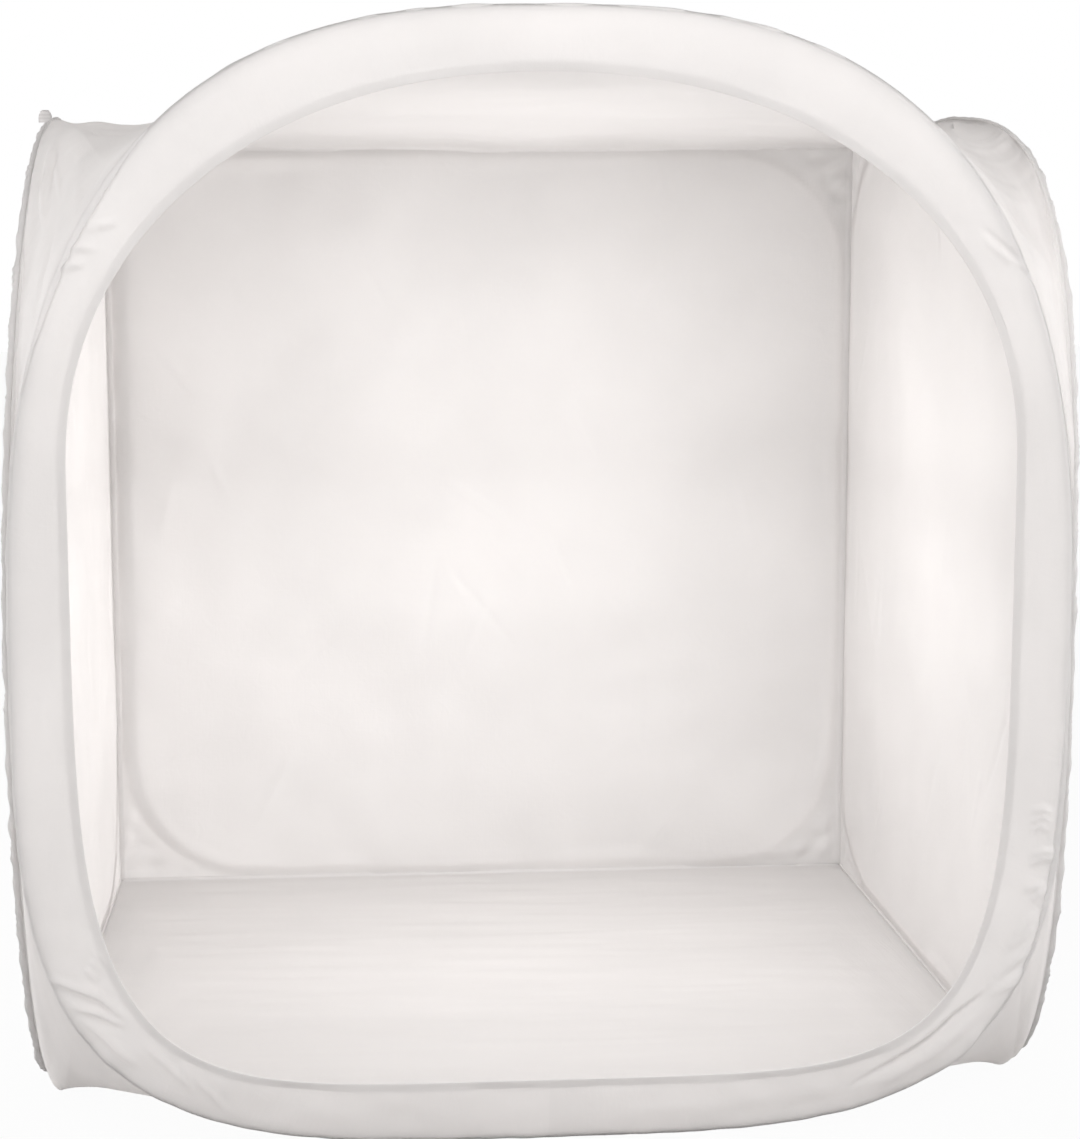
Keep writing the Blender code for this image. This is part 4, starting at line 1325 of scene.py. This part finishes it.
def roof(form):
    """The roof, from the ring's arch to the walls' top edges: it hangs a little and has folds at its ears."""
    sag = form.roof_sag
    _, _, points, share, wide, marks = panel_grid(
        ROOF_JOINS_RING, True, ROOF_RUNS, BACK_HEIGHT, BACK_HEIGHT - sag / 3, ROOF_ROWS, ROOF_STEPS
    )
    hang = np.clip(1 - (points[..., 0] / BACK_HALF) ** 2, 0, 1)
    for place, width, rise in EAR_SWELLS:
        swell = rise * np.exp(-(((points[..., 0] - place) / width) ** 2))
        points[..., 2] += swell * np.sin(math.pi * share) ** 0.8
    points[..., 2] -= sag * hang * np.sin(math.pi * share) + seam_pull((1 - share) * wide)
    x, y, z = points[..., 0], points[..., 1], points[..., 2]
    inner = np.minimum(share, 1 - share) * wide
    ears = np.clip((np.abs(x) - 0.55) / 0.15, 0, 1) * np.clip((-0.10 - y) / 0.2, 0, 1)
    height = swells(ROOF_SWELLS, x, y)
    height += creases(x, y, scattered(303, *ROOF_CREASES)) * (1 - ears)
    height += gathers(304, marks, share * wide, 0.018, 0.045) * 0.0016
    height += gathers(305, marks, (1 - share) * wide, 0.016, 0.030) * 0.0012
    height += ears * (swells([EAR_CRINKLE], y, z * 0.5) + swells([EAR_FINE_CRINKLE], y, z * 0.4))
    height += along_lines(points, ROOF_FOLDS)
    points = lift(points, height * np.clip(inner / 0.02, 0, 1))
    sewn_panel("roof", points, marks, form, "roof_panel")


def floor_cloth(form):
    """The floor, flat on the ground with low folds across it, and lifted only where it joins the ring."""
    near, far, points, share, wide, marks = panel_grid(
        FLOOR_JOINS_RING, False, FLOOR_RUNS, 0.0, 0.0, FLOOR_ROWS, FLOOR_STEPS
    )
    lifted = np.clip(1 - share * np.maximum(wide / FLOOR_LIFT_REACH, 1), 0, 1) ** 2
    points[..., 2] = near[None, :, 2] * lifted + far[None, :, 2] * (1 - lifted)
    x, y = points[..., 0], points[..., 1]
    inner = np.minimum(share, 1 - share) * wide
    slack = waves(311, x * 0.3, y, 0.10) * 0.6 + waves(313, x * 0.15, y, 0.05) * 0.4
    slack += np.abs(creases(x, y, scattered(312, *FLOOR_CREASES))) / FLOOR_RISE
    height = FLOOR_RISE / 2 * (1 + np.tanh(slack)) * np.clip(inner / SEAM_REACH, 0, 1)
    points[..., 2] += height + seam_pull((1 - share) * wide) + FLOOR_LOWEST
    sewn_panel("floor", points, marks, form, "floor_panel")


class TENT_OT_roof_and_floor(Operator):
    """Adds the roof and the floor"""

    bl_idname = "tent.roof_and_floor"
    bl_label = "Roof and floor"
    bl_options = {"REGISTER", "UNDO"}

    def execute(self, context):
        form = context.scene.tent_form
        roof(form)
        floor_cloth(form)
        return {"FINISHED"}


class TENT_OT_steel(Operator):
    """Gives the hoops and ferrules that the frame carries their steel finishes"""

    bl_idname = "tent.steel"
    bl_label = "Hoops and ferrules"
    bl_options = {"REGISTER", "UNDO"}

    def execute(self, context):
        steels = {"_hoop": "blued_spring_steel", "_ferrule": "zinc_plated_steel"}
        for name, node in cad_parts.items():
            for ending, steel in steels.items():
                if name.endswith(ending):
                    node.data.materials.clear()
                    node.data.materials.append(finishes()[steel])
        return {"FINISHED"}


# Stage


WHITE = (1.0, 1.0, 1.0, 1.0)
GREY = (0.5, 0.5, 0.5, 1.0)
SENSOR_MM = 36.0
SEES_FROM, SEES_TO = 0.05, 80.0


def seen_directly(tree):
    """1 for what the camera sees itself, in a gloss or through something clear, and 0 for light on the tent.

    Light that comes through the cloth is a transmission ray and a diffuse ray too, and is light on the tent.
    """
    path = add_node(tree, "ShaderNodeLightPath").outputs
    steps = (("MAXIMUM", "Is Glossy Ray"), ("MAXIMUM", "Is Transmission Ray"), ("SUBTRACT", "Is Diffuse Ray"))
    value = path["Is Camera Ray"]
    for operation, ray in steps:
        joined = {"operation": operation, "use_clamp": True}
        value = add_node(tree, "ShaderNodeMath", joined, {0: value, 1: path[ray]}).outputs["Value"]
    return value


# The rectangular lamps: name, the value that holds its power, place, what it faces, width and height
LAMPS = (
    ("front_softbox", "front_watts", (-0.2, -4.6, 2.2), (0, 0, 0.8), 2.0, 2.0),
    ("key_softbox", "key_watts", (0.3, -3.0, 3.0), (0.1, -0.77, 1.6), 2.4, 0.8),
    ("brow_strip", "brow_watts", (-0.1, -1.7, 1.8), (0, -0.77, 1.5), 2.0, 0.3),
    ("left_softbox", "left_watts", (-2.6, 1.6, 0.9), (-0.75, 0.1, 0.7), 1.4, 1.4),
    ("right_softbox", "right_watts", (3.2, -0.7, 1.2), (0.8, -0.1, 0.8), 1.8, 1.8),
    ("left_edge_softbox", "edge_watts", (-3.2, -1.2, 1.1), (-0.8, -0.4, 0.8), 1.4, 1.8),
    ("upward_softbox", "up_watts", (0, 0, 0.85), (0, 0, 2.0), 1.2, 1.0),
    ("downward_softbox", "down_watts", (0, -0.1, 0.90), (0, -0.1, 0), 1.2, 1.0),
)
GLOBE_PLACE = (0.1, 0.1, 0.85)


def add_lamp(name, kind, place, watts):
    """Adds a lamp that the camera doesn't see."""
    deselect()
    bpy.ops.object.light_add(type=kind, location=place)
    lamp = bpy.context.active_object
    lamp.name = name
    lamp.data.energy = watts
    lamp.visible_camera = False
    return lamp


def studio_lamps(settings):
    """The softboxes round and inside the tent, and the weak lamp in its middle."""
    for name, power, place, target, width, height in LAMPS:
        lamp = add_lamp(name, "AREA", place, getattr(settings, power))
        lamp.data.shape = "RECTANGLE"
        lamp.data.size, lamp.data.size_y = width, height
        lamp.rotation_euler = (Vector(target) - lamp.location).to_track_quat("-Z", "Y").to_euler()
    add_lamp("inside_globe", "POINT", GLOBE_PLACE, settings.inside_watts)


def photo_camera(settings):
    """The camera, at the photograph's place and angle."""
    deselect()
    bpy.ops.object.camera_add(location=tuple(settings.eye))
    camera = bpy.context.active_object
    camera.name = "photo_camera"
    camera.rotation_euler = (math.pi / 2 - settings.pitch, 0.0, -settings.turn)
    camera.data.lens = settings.lens
    camera.data.sensor_width = SENSOR_MM
    camera.data.clip_start, camera.data.clip_end = SEES_FROM, SEES_TO
    bpy.context.scene.camera = camera


def stage_floor(settings):
    """A pale floor that keeps the tent's shadow and is near white to the camera."""
    deselect()
    bpy.ops.mesh.primitive_plane_add(size=2 * settings.floor_reach, location=(0, 0, 0))
    floor = bpy.context.active_object
    floor.name = "stage_floor"
    made, output = new_material("white_paper_floor")
    tree = made.node_tree
    paper = add_node(tree, "ShaderNodeBsdfDiffuse", {"Color": GREY})
    white = add_node(tree, "ShaderNodeEmission", {"Color": WHITE, "Strength": 1.0})
    share = {"operation": "MULTIPLY", 1: settings.floor_white}
    share = add_node(tree, "ShaderNodeMath", share, {0: seen_directly(tree)})
    shaders = {"Fac": share.outputs["Value"], 1: paper.outputs["BSDF"], 2: white.outputs["Emission"]}
    both = add_node(tree, "ShaderNodeMixShader", links=shaders)
    tree.links.new(both.outputs["Shader"], output.inputs["Surface"])
    floor.data.materials.append(made)


def white_world(settings):
    """White to the camera and a plain even light to the tent."""
    world = bpy.data.worlds.new("white_studio")
    bpy.context.scene.world = world
    world.use_nodes = True
    tree = world.node_tree
    tree.nodes.clear()
    output = add_node(tree, "ShaderNodeOutputWorld")
    sky, white = (
        add_node(tree, "ShaderNodeBackground", {"Color": WHITE, "Strength": strength}).outputs["Background"]
        for strength in (settings.sky, 1.0)
    )
    both = add_node(tree, "ShaderNodeMixShader", links={"Fac": seen_directly(tree), 1: sky, 2: white})
    tree.links.new(both.outputs["Shader"], output.inputs["Surface"])


class TENT_OT_stage(Operator):
    """Adds the floor, the lamps, the white surround and the camera"""

    bl_idname = "tent.stage"
    bl_label = "Stage"
    bl_options = {"REGISTER", "UNDO"}

    def execute(self, context):
        settings = context.scene.tent_stage
        stage_floor(settings)
        white_world(settings)
        studio_lamps(settings)
        photo_camera(settings)
        context.scene.view_settings.view_transform = "Standard"
        return {"FINISHED"}


class TENT_PT_panel(Panel):
    """Lists the steps that build the tent and the values that they use"""

    bl_idname = "TENT_PT_panel"
    bl_label = "Light Tent Cube"
    bl_space_type = "VIEW_3D"
    bl_region_type = "UI"
    bl_category = "Light Tent"

    def draw(self, context):
        for step in STEPS:
            self.layout.operator(step.bl_idname)
        for group in (context.scene.tent_form, context.scene.tent_finish, context.scene.tent_stage):
            box = self.layout.box()
            for name in group.__annotations__:
                box.prop(group, name)


STEPS = (
    TENT_OT_front_ring,
    TENT_OT_back_wall,
    TENT_OT_side_walls,
    TENT_OT_roof_and_floor,
    TENT_OT_steel,
    TENT_OT_stage,
)
GROUPS = {"tent_form": TentForm, "tent_finish": TentFinish, "tent_stage": TentStage}


def register():
    for made in (*GROUPS.values(), *STEPS, TENT_PT_panel):
        bpy.utils.register_class(made)
    for name, group in GROUPS.items():
        setattr(bpy.types.Scene, name, PointerProperty(type=group))


def unregister():
    for name in GROUPS:
        delattr(bpy.types.Scene, name)
    for made in reversed((*GROUPS.values(), *STEPS, TENT_PT_panel)):
        bpy.utils.unregister_class(made)


def main():
    """Builds the tent."""
    register()
    bpy.ops.tent.front_ring()
    bpy.ops.tent.back_wall()
    bpy.ops.tent.side_walls()
    bpy.ops.tent.roof_and_floor()
    bpy.ops.tent.steel()
    bpy.ops.tent.stage()


if __name__ == "__main__":
    main()
